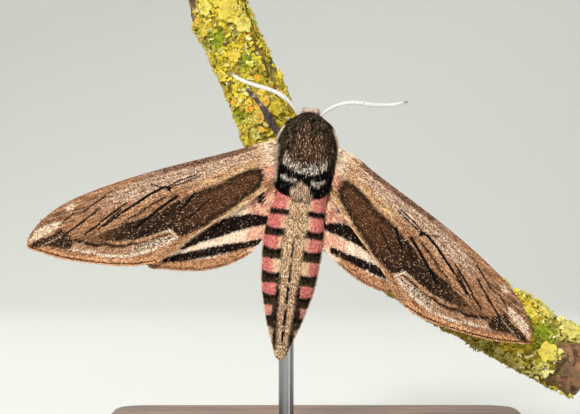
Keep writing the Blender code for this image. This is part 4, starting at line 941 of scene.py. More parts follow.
def makeWing(name, side, lead, trail, veins, grid, toPlace, toSpot, drop, marksOf):
    rows, columns = grid
    leadLine, trailLine = curveThrough(lead, rows), curveThrough(trail, rows)
    share = np.linspace(0, 1, columns)
    share = 0.5 - 0.5 * np.cos(np.pi * share) * 0.35 - 0.65 * (0.5 - share)  # closer rows near both edges
    share = share[None, :, None]
    flat = (trailLine[:, None] * (1 - share) + leadLine[:, None] * share)[:-1].reshape(-1, 2)
    spots = np.vstack([flat, leadLine[-1:]])
    places = toPlace(side, spots)
    edge = np.minimum(lineDistance(spots, lead), lineDistance(spots, trail))
    veinAway = nearestOf(spots, [curveThrough(line, 14) for line in veins])
    v = toSpot(side, places[:, 0], places[:, 1])[:, 1]
    middle = wingLie(places[:, 0]) - drop
    if drop == 0:
        middle = middle - wings["curl"] * (np.maximum(v - 1.0, 0) / 4.2) ** 2
    pleat = -0.16 * ramp(veinAway, 0.1, 1.3) + 0.05 * blotch(spots, (0.25, 0.5), 3.0)
    half = wings["thickness"] * ramp(edge, -0.05, 0.35)
    rise = wings["vein"] * np.exp(-(veinAway / 0.2) ** 2) * ramp(edge, 0.0, 0.5)
    top = np.column_stack([places, middle + 0.1 + pleat + half + rise])
    under = np.column_stack([places, middle + 0.1 + pleat - half - 0.4 * rise])
    count = len(spots)
    quads = gridFaces(rows - 1, columns)
    tip = count - 1
    fan = [((rows - 2) * columns + j, (rows - 2) * columns + j + 1, tip) for j in range(columns - 1)]
    rim = list(range(columns))[::-1] + [i * columns for i in range(1, rows - 1)] + [tip]
    rim += [i * columns + columns - 1 for i in range(rows - 2, 0, -1)]
    faces = [tuple(f) for f in quads] + fan
    faces += [tuple(int(i) + count for i in f[::-1]) for f in faces]
    faces += [(a, b, b + count, a + count) for a, b in zip(rim, rim[1:] + rim[:1])]
    wing = meshPiece(name, toWorld(np.vstack([top, under])), faces)
    faceOut(wing)
    fields = {key: np.tile(values, 2) for key, values in marksOf(spots).items()}
    fields["wingSpot"] = np.tile(np.column_stack([spots, np.zeros(count)]), (2, 1))
    fields["vein"] = np.tile(veinAway, 2)
    fields["underside"] = np.repeat([0.0, 1.0], count)
    fields["hairChance"] = luckOf(2 * count)
    giveFields(wing.data, fields)
    return wing, spots


def grainOf(wing):  # how the scales vary: finely, in streaks along the veins, and one from the next
    fine = wing.weave(5.0, 2, 0.8, 1.0)
    return fine, wing.weave(1.4, 3, 0.24, 2.5), wing.field("hairChance")


def foreFinish():
    wing = Finish("forewingScales", Roughness=0.72, Specular_IOR_Level=0.12)
    fine, streaky, luck = grainOf(wing)
    loose = wing.weave(2.2, 3, 0.7, 1.6) - 0.5
    broad = wing.weave(0.55, 2, 0.6, 1.0)
    hairs = wing.weave(1.8, 2, 0.12, 2.2)
    speck = luck * 0.55 + 0.45 * fine
    u = wing.node("ShaderNodeSeparateXYZ", {}, {0: wing.field("wingSpot", 1)})
    v = wing.node("ShaderNodeSeparateXYZ", {}, {0: wing.field("wingSpot", 1)}, out=1) + 1.2 * loose

    def within(mark, shake, soft):  # 1 inside a marking, with an edge that the scales fray
        return 1 - (wing.field(mark) + shake * loose).rise(-soft, soft)

    wing.top = wing.mix(streaky.rise(0.36, 0.62), "a2693f", "dcab80")
    wing.lay(broad.rise(0.42, 0.6) * 0.35, "84583c")
    frost = v.rise(0.0, 1.3) * v.fall(3.3, 4.3) * u.rise(1.5, 5.0) * u.fall(28, 37)
    wing.lay(frost * 0.9, wing.mix((streaky * 0.6 + 0.4 * speck).rise(0.4, 0.58), "9d6b48", "f1dfd0"))
    honey = u.rise(1.5, 3.5) * u.fall(13, 17) * v.fall(0.2, 1.2)
    wing.lay(honey * 0.85, wing.mix(hairs.rise(0.4, 0.58), "a9713f", "f3d5a8"))
    leading = v.rise(2.9, 4.2) * u.fall(22, 28)
    wing.lay(leading * 0.75, wing.mix(streaky.rise(0.35, 0.6), "65463a", "b69b8b"))
    amber = within("amber", 1.1, 0.7)
    wing.lay(amber * 0.45, wing.mix((0.5 * streaky + 0.5 * luck).rise(0.36, 0.6), "9c683f", "f0c79c"))
    outer = u.rise(31, 40)
    wing.lay(outer * 0.55, wing.mix(streaky.rise(0.36, 0.6), "64402c", "c99873"))
    wing.lay(luck.rise(0.78, 0.86) * (0.5 + 0.35 * frost - 0.2 * outer), "fbf1e6")
    wing.lay(luck.fall(0.11, 0.17) * (0.8 - 0.3 * frost), wing.mix(streaky, "3c2417", "5e3c29"))
    threads = wing.weave(1.5, 2, 0.05, 2.6).rise(0.5, 0.6) * u.rise(3, 8)
    wing.lay(threads * 0.4, "59341f")
    blots = within("blots", 0.9, 0.35)
    wing.lay(blots * 0.75, wing.mix(speck.rise(0.4, 0.6), "38241a", "8c6248"))
    vein = wing.field("vein")
    wing.lay(vein.fall(0.06, 0.2) * (1 - outer) * 0.3, "63422d")
    costal = within("costal", 0.5, 0.18)
    wing.lay(costal * 0.9, wing.mix(speck.rise(0.4, 0.7), wing.mix(u.rise(22, 30), "40281d", "6a3620"), "a37c66"))
    dark = within("darkPatch", 0.9, 0.3)
    rust = wing.mix(streaky.rise(0.4, 0.66), "1b110a", "4f3320")
    rust = wing.mix((speck + 0.6 * broad).rise(0.7, 0.86) * 0.6 * (-1 * wing.field("darkPatch")).rise(0.7, 1.5),
                    rust, "80553a")
    darkColour = wing.mix(u.rise(12, 23), rust, wing.mix(streaky.rise(0.42, 0.7), "19110c", "463224"))
    darkColour = wing.mix(luck.rise(0.92, 0.95) * (0.4 + 0.5 * u.rise(10, 20)), darkColour, "c4a88c")
    wing.lay(dark * 0.98, darkColour)
    smudge = within("smudge", 1.2, 0.6)
    wing.lay(smudge * 0.75, wing.mix(speck.rise(0.4, 0.62), "2b1e15", "8a6549"))
    grey = within("grey", 0.8, 0.3) * (1 - 0.6 * u.rise(30, 36))
    greyColour = wing.mix((0.4 * streaky + 0.6 * luck).rise(0.46, 0.52), "1a120d", "efe4d8")
    wing.lay(grey * 0.9, wing.mix(u.rise(27, 33) * 0.6, greyColour, "b98c69"))
    margin = wing.field("margin")
    orange = 1 - (margin + 0.35 * loose).rise(0.85, 1.15)
    marginColour = wing.mix(speck.rise(0.3, 0.6), "bd7c50", "ebbb90")
    wing.lay(orange * 0.92, wing.mix(luck.rise(0.9, 0.94), marginColour, "f6e6d4"))
    upperLine = within("upperLine", 0.3, 0.1)
    wing.lay(upperLine * (0.4 + 0.5 * luck), wing.mix(u.rise(22, 26), "fbeedd", "dbb594"))
    white = within("white", 0.7, 0.2)
    wing.lay(white * (speck + 0.5 * broad).rise(0.6, 0.8), "fbf5ee")
    innerLine = 1 - wing.field("inner").rise(0.16, 0.26)
    wing.lay(innerLine * u.fall(20, 22) * 0.85, wing.mix(luck.rise(0.2, 0.4), "b98656", "f3dcba"))
    wavy = within("wavy", 1.3, 0.12) * luck.rise(0.08, 0.16)
    wing.lay(wavy * (0.85 + 0.15 * luck), "0e0906")
    apexPale = within("apexPale", 0.9, 0.22)
    wing.lay(apexPale * (speck + 0.3 * luck).rise(0.4, 0.55) * 0.95, wing.mix(luck, "ecd2b0", "fffaf0"))
    apexDark = within("apexDark", 0.7, 0.2)
    apexColour = wing.mix(luck.rise(0.93, 0.97), wing.mix(speck.rise(0.5, 0.75), "170e09", "5e4230"), "d8c4b0")
    wing.lay(apexDark * 0.95, apexColour)
    wing.lay(vein.fall(0.05, 0.13) * outer * 0.55, "e0c8b0")
    streak = within("streak", 0.12, 0.06)
    wing.lay(streak, "060404")
    rimLine = margin.fall(0.38, 0.48) * margin.rise(0.1, 0.18)
    wing.lay(rimLine * 0.95, "47230f")
    atRoot = hairs * 0.75 + 0.25 * luck
    hair = wing.mix(atRoot.rise(0.42, 0.56), "a87048", "f8e9d4")
    hair = wing.mix(1 - v.rise(-2.2, -0.3), hair, wing.mix(luck, "ee9288", "ffdcc8"))
    rootShare = 1 - (u + 2.5 * loose + 1.3 * v.fall(-1.4, -0.6)).rise(0.8, 3.2)
    wing.lay(rootShare * 0.95, hair)
    besideBody = (1 - (u + 0.8 * loose).rise(-0.4, 1.0)) * v.rise(-1.2, 0.2)
    wing.lay(besideBody * 0.7, wing.mix(luck.rise(0.1, 0.4), "d2b294", "fff4e6"))
    below = wing.mix(streaky.rise(0.3, 0.7), "a07860", "c9a48c")
    below = wing.mix(vein.fall(0.06, 0.2) * 0.6, below, "7c5a45")
    wing.lay(wing.field("underside"), below)
    wing.lay(0.7, wing.mix(luck, (0.66, 0.56, 0.44), (1.52, 1.3, 1.02)), "MULTIPLY")
    wing.colour(wing.top)
    scaleCells = wing.cells(5.5, wing.spot("wingSpot", (0.6, 1.3, 1)))
    wing.bump(scaleCells + 0.6 * streaky, 0.35, 0.00008)
    return wing.material


def hindFinish():
    wing = Finish("hindwingScales", Roughness=0.75, Specular_IOR_Level=0.1)
    fine, streaky, luck = grainOf(wing)
    ragged = 1.5 * (wing.weave(1.9, 3, 2.4, 0.6) - 0.5)
    dashes = wing.weave(2.6, 2, 0.7, 1.9)
    cream = wing.mix((luck * 0.5 + 0.5 * fine).rise(0.2, 0.7), "f8d9b2", "fffaf0")
    cream = wing.mix(dashes.rise(0.64, 0.7) * 0.6, cream, "b07b55")
    pinkish = 1 - (wing.field("pinkRoot") + 2 * ragged).rise(-0.4, 2.2)
    wing.top = wing.mix(pinkish, cream, wing.mix((luck * 0.6 + 0.4 * fine).rise(0.2, 0.8), "e69585", "fbdcc4"))
    band = 1 - (wing.field("band") + ragged).rise(-0.16, 0.2)
    outer = 1 - (wing.field("outerBand") + ragged).rise(-0.14, 0.2)
    black = wing.mix((luck * 0.5 + 0.5 * fine).rise(0.4, 0.8), "080504", "2a1b15")
    black = wing.mix(luck.rise(0.95, 0.98) * 0.7, black, "b7a596")
    wing.lay(band, black)
    margin = wing.field("margin")
    x = wing.node("ShaderNodeSeparateXYZ", {}, {0: wing.field("wingSpot", 1)})
    orange = (1 - (margin + ragged).rise(1.8, 2.2)) * (x + 2 * ragged).rise(7.2, 9.4)
    wing.lay(orange, wing.mix((luck * 0.6 + 0.4 * fine).rise(0.25, 0.7), "8a5a3a", "dcae88"))
    wing.lay(outer, black)
    rimLine = margin.fall(0.28, 0.4) * margin.rise(0.08, 0.16)
    wing.lay(rimLine * 0.85, "4a2a1c")
    wing.lay(wing.field("vein").fall(0.05, 0.16) * 0.3, "6e4a38")
    below = wing.mix(streaky.rise(0.3, 0.7), "c2937c", "e3bda6")
    below = wing.mix((band + outer) * 0.55, below, "6d5348")
    wing.lay(wing.field("underside"), below)
    wing.lay(0.6, wing.mix(luck, (0.65, 0.54, 0.44), (1.75, 1.55, 1.3)), "MULTIPLY")
    wing.colour(wing.top)
    scaleCells = wing.cells(5.5, wing.spot("wingSpot", (0.9, 0.9, 1)))
    wing.bump(scaleCells + 0.5 * streaky, 0.35, 0.00008)
    return wing.material


def wingUnwrap(side, toSpot, low, high):
    def unwrap(roots):
        points = toMoth(roots)
        spots = toSpot(side, points[:, 0], points[:, 1])
        return inMap((spots - np.array(low)) / (np.array(high) - np.array(low)))
    return unwrap


foreMaterial, hindMaterial = foreFinish(), hindFinish()
wingCoats = {  # what the scales and hairs of each wing are like
    "scales": {"Length": 0.00044, "Width": 0.00019, "Thickness": 0.00003, "Lift": 0.10, "Spread": 0.16, "Seed": 5},
    "fringe": {"Length": 0.00048, "Width": 0.00014, "Thickness": 0.00003, "Lift": 0.04, "Spread": 0.20, "Seed": 6},
    "foreDensity": 48, "hindDensity": 40, "fringeDensity": 150,  # tufts to the square millimetre
    "fringeWidth": 0.32,
}


def dressWing(name, side, wing, spots, toSpot, box, material, density, fore):
    count = len(spots)
    x, y = toMoth(pointsOf(wing.data))[:count, :2].T
    if fore:
        outwards, ahead = forePlace(side, spots + (1, 0)) - forePlace(side, spots), lineDistance(spots, foreLead)
        margin = lineDistance(spots, foreTrail[5:])
        ways = forePlace(side, spots + (0.75, -0.66)) - forePlace(side, spots)
        atRoot = 1 - ramp(np.abs(x) - 5.4, 0.3, 3.4)
    else:
        outwards, ahead = np.column_stack([side * 0.75 + 0 * x, -0.66 + 0 * x]), 1.0 + 0 * x
        margin = lineDistance(spots, hindTrail)
        ways = np.column_stack([side * 0.35 + 0 * x, -0.94 + 0 * x])
        atRoot = (1 - ramp(np.abs(x) - 5.4, 0.6, 5.6)) * ramp(y, -14.5, -11.5)
    near = (1 - ramp(margin, 0.1, 1.2))[:, None]
    lie = outwards * (1 - near) + ways * near
    flat = np.column_stack([lie, 0 * x])
    giveFields(wing.data, {
        "furLie": np.tile(flat @ mothAxes, (2, 1)),
        "furLength": np.tile(1 + (2.0 if fore else 3.2) * atRoot, 2),
        "furLift": np.tile(1 + (0.3 if fore else 1.2) * atRoot, 2),
        "furDensity": np.tile((1.0 - 0.2 * atRoot) * ramp(ahead, 0.03, 0.25), 2),
    })
    top = np.repeat([True, False], count)
    unwrap = wingUnwrap(side, toSpot, *box)
    skin = partOf(wing, top)
    growCoat(name + "Scales", skin, scaleTuft, {**wingCoats["scales"], "Density": density * 1e6},
             material, unwrap)
    bpy.data.objects.remove(skin)
    skin = partOf(wing, top & np.tile(margin < wingCoats["fringeWidth"], 2))
    growCoat(name + "Fringe", skin, hairTuft, {**wingCoats["fringe"], "Density": wingCoats["fringeDensity"] * 1e6},
             material, unwrap)
    bpy.data.objects.remove(skin)
    dropFields(wing.data, furFields)


def hindPlace(side, spots):
    return np.asarray(spots, float) * (side, 1)


def hindSpot(side, x, y):
    return np.stack([side * np.asarray(x), np.asarray(y)], -1)


for side, sideName in ((-1, "left"), (1, "right")):
    rootLead = foreUv(side, side * 5.2, 1.5)
    rootTrail = foreUv(side, side * 5.0, -5.3)
    lead = [tuple(rootLead), (2.0, 3.55), *foreLead]
    trail = [tuple(rootTrail), *foreTrail]
    wing, spots = makeWing("forewing_" + sideName + "_skin", side, lead, trail, foreVeins.values(),
                           wings["foreGrid"],
                                 forePlace, foreUv, 0.0, foreMarks)
    finishPiece(wing, foreMaterial, ("forewing_" + sideName,))
    dressWing("forewing_" + sideName, side, wing, spots, foreUv, ((-4, -12.5), (50, 6)), foreMaterial,
              wingCoats["foreDensity"], True)
    wing, spots = makeWing("hindwing_" + sideName + "_skin", side, hindLead, (*hindInnerEdge[side], *hindTrail),
                           hindVeins.values(), wings["hindGrid"],
                                 hindPlace, hindSpot, wings["drop"] + 0.15, hindMarks)
    finishPiece(wing, hindMaterial, ("hindwing_" + sideName,))
    dressWing("hindwing_" + sideName, side, wing, spots, hindSpot, ((4, -27), (29, -4)), hindMaterial,
              wingCoats["hindDensity"], False)
print("wings")

# eyes, tongue, feelers and legs

limbs = {
    # growth is how far the feeler's and the leg's skins stand over the solid ones, in mm
    "sides": 16, "feelerRings": 260, "legRings": 110, "feelerJoints": 62, "growth": (0.02, 0.05),
    "hair": {"Length": 0.00034, "Width": 0.00013, "Thickness": 0.00003, "Lift": 0.16, "Spread": 0.35, "Seed": 9},
    "legDensity": 46, "feelerDensity": 60,
}
feelerRadii = ((0.0, 0.27), (0.05, 0.30), (0.12, 0.30), (0.6, 0.34), (0.85, 0.28), (0.95, 0.19), (1.0, 0.08))
feelers = {
    -1: ((-1.45, 5.45, -0.05), (-2.3, 6.6, 0.35), (-3.35, 7.85, 1.0), (-4.6, 8.95, 1.6), (-6.7, 10.1, 2.1),
         (-8.85, 10.7, 2.4), (-11.4, 11.15, 2.4), (-13.5, 11.7, 2.2), (-15.1, 12.35, 1.8), (-16.2, 12.95, 1.5)),
    1: ((1.45, 5.45, -0.05), (2.1, 6.9, 0.45), (3.0, 7.85, 0.9), (4.1, 8.7, 1.3), (5.3, 9.35, 1.6),
        (6.5, 9.75, 1.8), (9.0, 10.0, 2.1), (11.5, 9.95, 2.1), (14.0, 10.15, 2.0), (15.8, 10.5, 1.8),
        (17.0, 10.95, 1.6), (18.2, 11.3, 1.4)),
}
legRoutes = {  # the hip's x and y, then knee, ankle and foot
    "foreleg_left": ((-2.3, 2.0), ((-5.7, 3.0, -6.3), (-9.5, 7.6, -6.7), (-13.1, 10.9, -7.4))),
    "foreleg_right": ((2.2, 2.0), ((3.4, 4.3, -6.9), (0.6, 4.9, -8.8), (-2.3, 4.4, -12.4))),
    "midleg_left": ((-2.4, -0.8), ((-7.2, 0.2, -6.2), (-10.9, -1.8, -7.6), (-13.6, -3.0, -12.0))),
    "midleg_right": ((2.5, -0.8), ((5.2, -1.4, -7.0), (3.9, -3.2, -8.4), (1.9, -3.2, -12.8))),
    "hindleg_left": ((-2.2, -3.6), ((-5.4, -7.4, -6.6), (-7.4, -10.8, -8.8), (-6.4, -12.4, -12.6))),
    "hindleg_right": ((2.3, -3.6), ((5.8, -6.2, -6.5), (8.9, -9.1, -7.4), (9.8, -11.6, -11.8))),
}
legRadii = ((0.0, 0.62), (0.12, 0.72), (0.30, 0.60), (0.38, 0.42), (0.46, 0.56), (0.60, 0.52), (0.68, 0.36),
            (0.74, 0.30), (0.85, 0.28), (0.96, 0.27), (1.0, 0.20))
branch = {
    "line": ((-20.6, 90.6, 5.9), (-19.4, 86.0, 5.8), (-16.7, 79.5, 5.7), (-12.9, 71.5, 5.75), (-8.9, 61.6, 5.8),
             (-4.4, 53.95, 5.9), (1.25, 46.65, 6.0), (8.55, 40.7, 6.2), (16.5, 36.0, 6.4), (28.5, 28.3, 6.6),
             (40.4, 22.0, 6.8), (46.4, 18.5, 6.6), (53.7, 14.4, 6.4)),  # x, z and radius, in mm in the world
    "depth": 2.0, "relief": 0.28, "rings": 400, "sides": 112, "crust": 0.34,
    "cover": 0.5,  # mm of lichen over the bark
}


def barkRelief(along, angle):
    knots = np.sin(31 * along + 2 * np.sin(3 * angle)) + np.sin(47 * along + 4 * angle)
    folds = 0.5 * np.sin(5 * angle + 9 * along) + 0.4 * np.sin(83 * along - 3 * angle)
    return branch["relief"] * (0.5 * knots + folds)


def branchFrames(count):  # middles, sideways directions, radii and shares of the length, in the world
    line = curveThrough(branch["line"], count)
    tangents = directions(line[:, :2])
    middles = np.column_stack([line[:, 0], np.full(count, branch["depth"]), line[:, 1]])
    across = np.column_stack([-tangents[:, 1], np.zeros(count), tangents[:, 0]])
    return middles, across, line[:, 2], np.linspace(0, 1, count)


def onBark(point, outwards):  # the point of the moth's frame moved to stand this far out of the bark
    middles, across, radii, along = branchFrames(160)
    place = toWorld([point])[0] * 1000
    k = np.linalg.norm(middles - place, axis=1).argmin()
    offset = place - middles[k]
    angle = math.atan2(offset[1], offset @ across[k])
    way = across[k] * math.cos(angle) + np.array([0, 1, 0]) * math.sin(angle)
    return toMoth([(middles[k] + way * (radii[k] + barkRelief(along[k], angle) + outwards)) * 0.001])[0]


def thoraxPoint(y, angle, outwards):
    def section(y, angle):
        x, half, top, bottom = curveRows(thoraxForm, y)[0]
        power = 2 / body["square"]
        return np.array([x + half * math.copysign(abs(math.cos(angle)) ** power, math.cos(angle)), y,
                         (top + bottom) / 2 + (top - bottom) / 2
                         * math.copysign(abs(math.sin(angle)) ** power, math.sin(angle))])
    here = section(y, angle)
    normal = np.cross(section(y - 0.05, angle) - section(y + 0.05, angle),
                      section(y, angle + 0.02) - section(y, angle - 0.02))
    normal = unit(normal)
    normal *= np.sign(normal @ (here - (0, y, 0)))
    return here + normal * outwards, normal


def limbPiece(name, line, radii, sides, extras=(), material=None, nodes=()):
    points, faces = lathe(tubeRings(line, radii, sides))
    shapes, count = [(points, faces)], len(points)
    shapes += list(extras)
    piece = joinShapes(name, shapes)
    spots = toMoth(pointsOf(piece.data))
    away = np.linalg.norm(spots[:, None] - np.asarray(line)[None], axis=2)
    near = away.argmin(axis=1)
    tangents = directions(line)
    core = np.arange(len(spots)) < count
    giveFields(piece.data, {
        "along": near / (len(line) - 1.0), "above": spots[:, 2] - np.asarray(line)[near][:, 2],
        "furLie": tangents[near] @ mothAxes, "furLength": np.ones(len(spots)), "furLift": np.ones(len(spots)),
        "furDensity": core * ramp(near, 1, 3) * ramp(len(line) - near, 1, 3), "hairChance": luckOf(len(spots)),
    })
    return finishPiece(piece, material, nodes)


def limbUnwrap(line):
    line, tangents = np.asarray(line), directions(line)

    def unwrap(roots):
        points = toMoth(roots)
        near = np.linalg.norm(points[:, None] - line[None], axis=2).argmin(axis=1)
        offset = points - line[near]
        side = np.cross(tangents[near], (0.2, 0.1, 1.0))
        side /= np.linalg.norm(side, axis=1)[:, None]
        rise = np.cross(side, tangents[near])
        angle = np.arctan2((offset * rise).sum(1), (offset * side).sum(1))
        return inMap(np.column_stack([near / (len(line) - 1), angle / math.tau + 0.5]))
    return unwrap


def eyeFinish():
    eye = Finish("eyeFacets", Roughness=0.22, Specular_IOR_Level=0.6, Coat_Roughness=0.12)
    facets = eye.cells(9000)
    shade = eye.grain(900, 2)
    eye.colour(eye.mix(facets.rise(0.1, 0.7), eye.mix(shade, "2d1a12", "4b2f20"), "160c08"))
    eye.rough(0.2 + 0.25 * facets)
    eye.bump(1 - facets, 0.5, 0.00003)
    return eye.material


def feelerFinish():
    feeler = Finish("feelerScales", Roughness=0.55, Sheen_Weight=0.1)
    rings = feeler.field("along") * limbs["feelerJoints"] * math.tau
    dark = rings.sum("SINE").rise(0.7, 1.0)
    grain = feeler.grain(5000, 2)
    white = feeler.mix(grain, "f6f1e8", "fffefb")
    white = feeler.mix(dark * 0.18, white, "b59d88")
    brown = feeler.mix(grain, "7a5b45", "a5846a")
    tip = feeler.field("along").rise(0.93, 0.99)
    # brown on the feeler's lower side: partly its own colour, partly painted shade along its underside
    feeler.top = feeler.mix(feeler.field("above").rise(-0.16, -0.02), brown, white)
    feeler.lay(tip * 0.8, "6d5442")
    luck = feeler.field("hairChance")
    feeler.lay(0.2, feeler.mix(luck, (0.6, 0.6, 0.6), (1.3, 1.3, 1.3)), "MULTIPLY")
    feeler.colour(feeler.top)
    feeler.bump(rings.sum("SINE") + grain, 0.4, 0.00004)
    return feeler.material


def legFinish():
    leg = Finish("legScales", Roughness=0.7, Sheen_Weight=0.08)
    grain, luck = leg.grain(2500, 3), leg.field("hairChance")
    along = leg.field("along")
    leg.top = leg.mix(grain.rise(0.3, 0.7), "3b2f2f", "665253")
    leg.lay(luck.rise(0.82, 0.98) * 0.8, "b7a6a2")
    pale = (1 - (along * 42.0).sum("SINE").rise(-0.95, -0.6)) * along.rise(0.66, 0.7)
    leg.lay(pale * 0.75, "cbbcae")
    leg.lay(0.35, leg.mix(luck, (0.6, 0.6, 0.6), (1.4, 1.4, 1.4)), "MULTIPLY")
    leg.colour(leg.top)
    leg.bump(leg.grain(6000, 2), 0.45, 0.00006)
    return leg.material


def tongueFinish():
    tongue = Finish("tongueHorn", Roughness=0.4, Specular_IOR_Level=0.5)
    rings = (tongue.field("along") * 240.0).sum("SINE")
    grain = tongue.grain(3000, 2)
    tongue.colour(tongue.mix(rings.rise(-0.4, 0.8), tongue.mix(grain, "54301b", "7d4c2c"), "9a6a41"))
    tongue.bump(rings, 0.4, 0.00003)
    return tongue.material


def spike(start, end, radius):
    line = np.linspace(start, end, 6)
    bent = line + np.sin(np.linspace(0, math.pi, 6))[:, None] * np.array((0.0, 0.0, 0.05))
    return lathe(tubeRings(bent, radius * np.linspace(1, 0.18, 6), 8))


eyeMaterial, feelerMaterial, legMaterial, tongueMaterial = eyeFinish(), feelerFinish(), legFinish(), tongueFinish()
for side, sideName in ((-1, "left"), (1, "right")):
    middle = np.array(eyeBall["middle"]) * (side, 1, 1)
    eye = joinShapes("eye_" + sideName + "_ball", [lathe(ballRings(middle, (eyeBall["radius"],) * 3, 40, 56))])
    finishPiece(eye, eyeMaterial, ("eye_" + sideName,))
    line = curveThrough(feelers[side], limbs["feelerRings"])
    share = np.linspace(0, 1, limbs["feelerRings"])
    joints = 0.012 * np.sin(share * limbs["feelerJoints"] * math.tau)
    radii = np.interp(share, *zip(*feelerRadii)) + joints * ramp(1 - share, 0, 0.1) + limbs["growth"][0]
    feeler = limbPiece("feeler_" + sideName + "_shaft", line, radii, limbs["sides"], (), feelerMaterial,
                       ("feeler_" + sideName,))
    growCoat("feeler_" + sideName + "_scales", feeler, hairTuft,
             {**limbs["hair"], "Length": 0.00024, "Width": 0.00011, "Lift": 0.2,
              "Density": limbs["feelerDensity"] * 1e6},
             feelerMaterial, limbUnwrap(line))
    dropFields(feeler.data, furFields)
coilShare = np.linspace(0, 1, 130)
coilTurn = math.tau * 1.4 * coilShare
coilOut = 0.5 + 0.95 * coilShare
coil = np.column_stack([0 * coilShare, 3.9 - coilOut * np.cos(coilTurn), -6.3 + coilOut * np.sin(coilTurn)])
tongue = limbPiece("tongue_coil", coil, 0.25 - 0.03 * (1 - coilShare), 20, (), tongueMaterial,
                   ("tongue",))
dropFields(tongue.data, furFields)
for legName, ((hipX, hipY), route) in legRoutes.items():
    half = curveRows(thoraxForm, hipY)[0][1]
    hip, normal = thoraxPoint(hipY, -math.acos(hipX / half), -0.3)
    joints, foot = [np.array(p) for p in route[:-1]], np.array(route[-1])
    foot = onBark(foot, 0.6)
    heel = onBark(foot + 0.35 * (joints[-1] - foot), 0.72)
    line = curveThrough([hip, hip + normal * 1.05, *joints, heel, foot], limbs["legRings"])
    share = np.linspace(0, 1, limbs["legRings"])
    radii = curveRows(legRadii, share)[:, 0] + limbs["growth"][1]
    tarsus = ramp(share, 0.70, 0.74)
    radii = radii - 0.05 * tarsus * (0.5 + 0.5 * np.sin(share * 42 * 2.4))
    forward = unit(line[-1] - line[-6])
    across = unit(np.cross(forward, (0.0, 0.1, 1.0)))
    extras = [spike(line[-2] + 0.06 * k * across,
                    line[-1] + 0.35 * forward + 0.26 * k * across - (0, 0, 0.12), 0.07)
              for k in (-1, 1)]
    for k, where in ((-1, 58), (1, 60), (-1, 70), (1, 72)):
        if "fore" not in legName or where < 60:
            ahead = unit(line[where + 6] - line[where])
            out = np.cross(ahead, (0.0, 0.1, 1.0))
            extras.append(spike(line[where], line[where] + 0.95 * ahead + 0.55 * k * out, 0.11))
    leg = limbPiece(legName + "_shaft", line, np.maximum(radii, 0.06), limbs["sides"], extras, legMaterial,
                    (legName,))
    growCoat(legName + "_scales", leg, hairTuft, {**limbs["hair"], "Density": limbs["legDensity"] * 1e6},
             legMaterial,
             limbUnwrap(line))
    dropFields(leg.data, furFields)
print("eyes, tongue, feelers and legs")

# the branch: bark, the lichen's lobes and its cups

mossSpots = ((-20.1, 80.1, 2.2), (-14.2, 75.4, 1.4), (44.6, 21.8, 2.6), (34.5, 18.5, 1.4))  # x, z and size, mm
barkCrack = ((-12.9, 80.5), (-11.3, 77.7), (-9.9, 75.3), (-9.1, 72.5), (-7.9, 70.6), (-6.8, 69.5))
barkSlope = ((40.5, 13.4), (44.0, 13.6), (46.5, 15.5), (47.0, 20.5), (52.0, 20.5), (58.0, 19.0), (58.0, 4.0),
             (44.0, 9.0))
cupSpots = ((-11.4, 68.9, 0.9), (-10.5, 68.3, 0.6), (-8.9, 71.4, 0.5), (-12.7, 66.9, 0.9), (-11.2, 64.8, 0.7),
            (-15.8, 67.6, 0.6), (-15.0, 74.0, 0.5), (38.5, 23.5, 0.6))


def noiseAt(points, scale, shift):
    return np.array([noise.noise(Vector(p) * scale + Vector((shift, 1.7 * shift, 0.3 * shift))) for p in points])


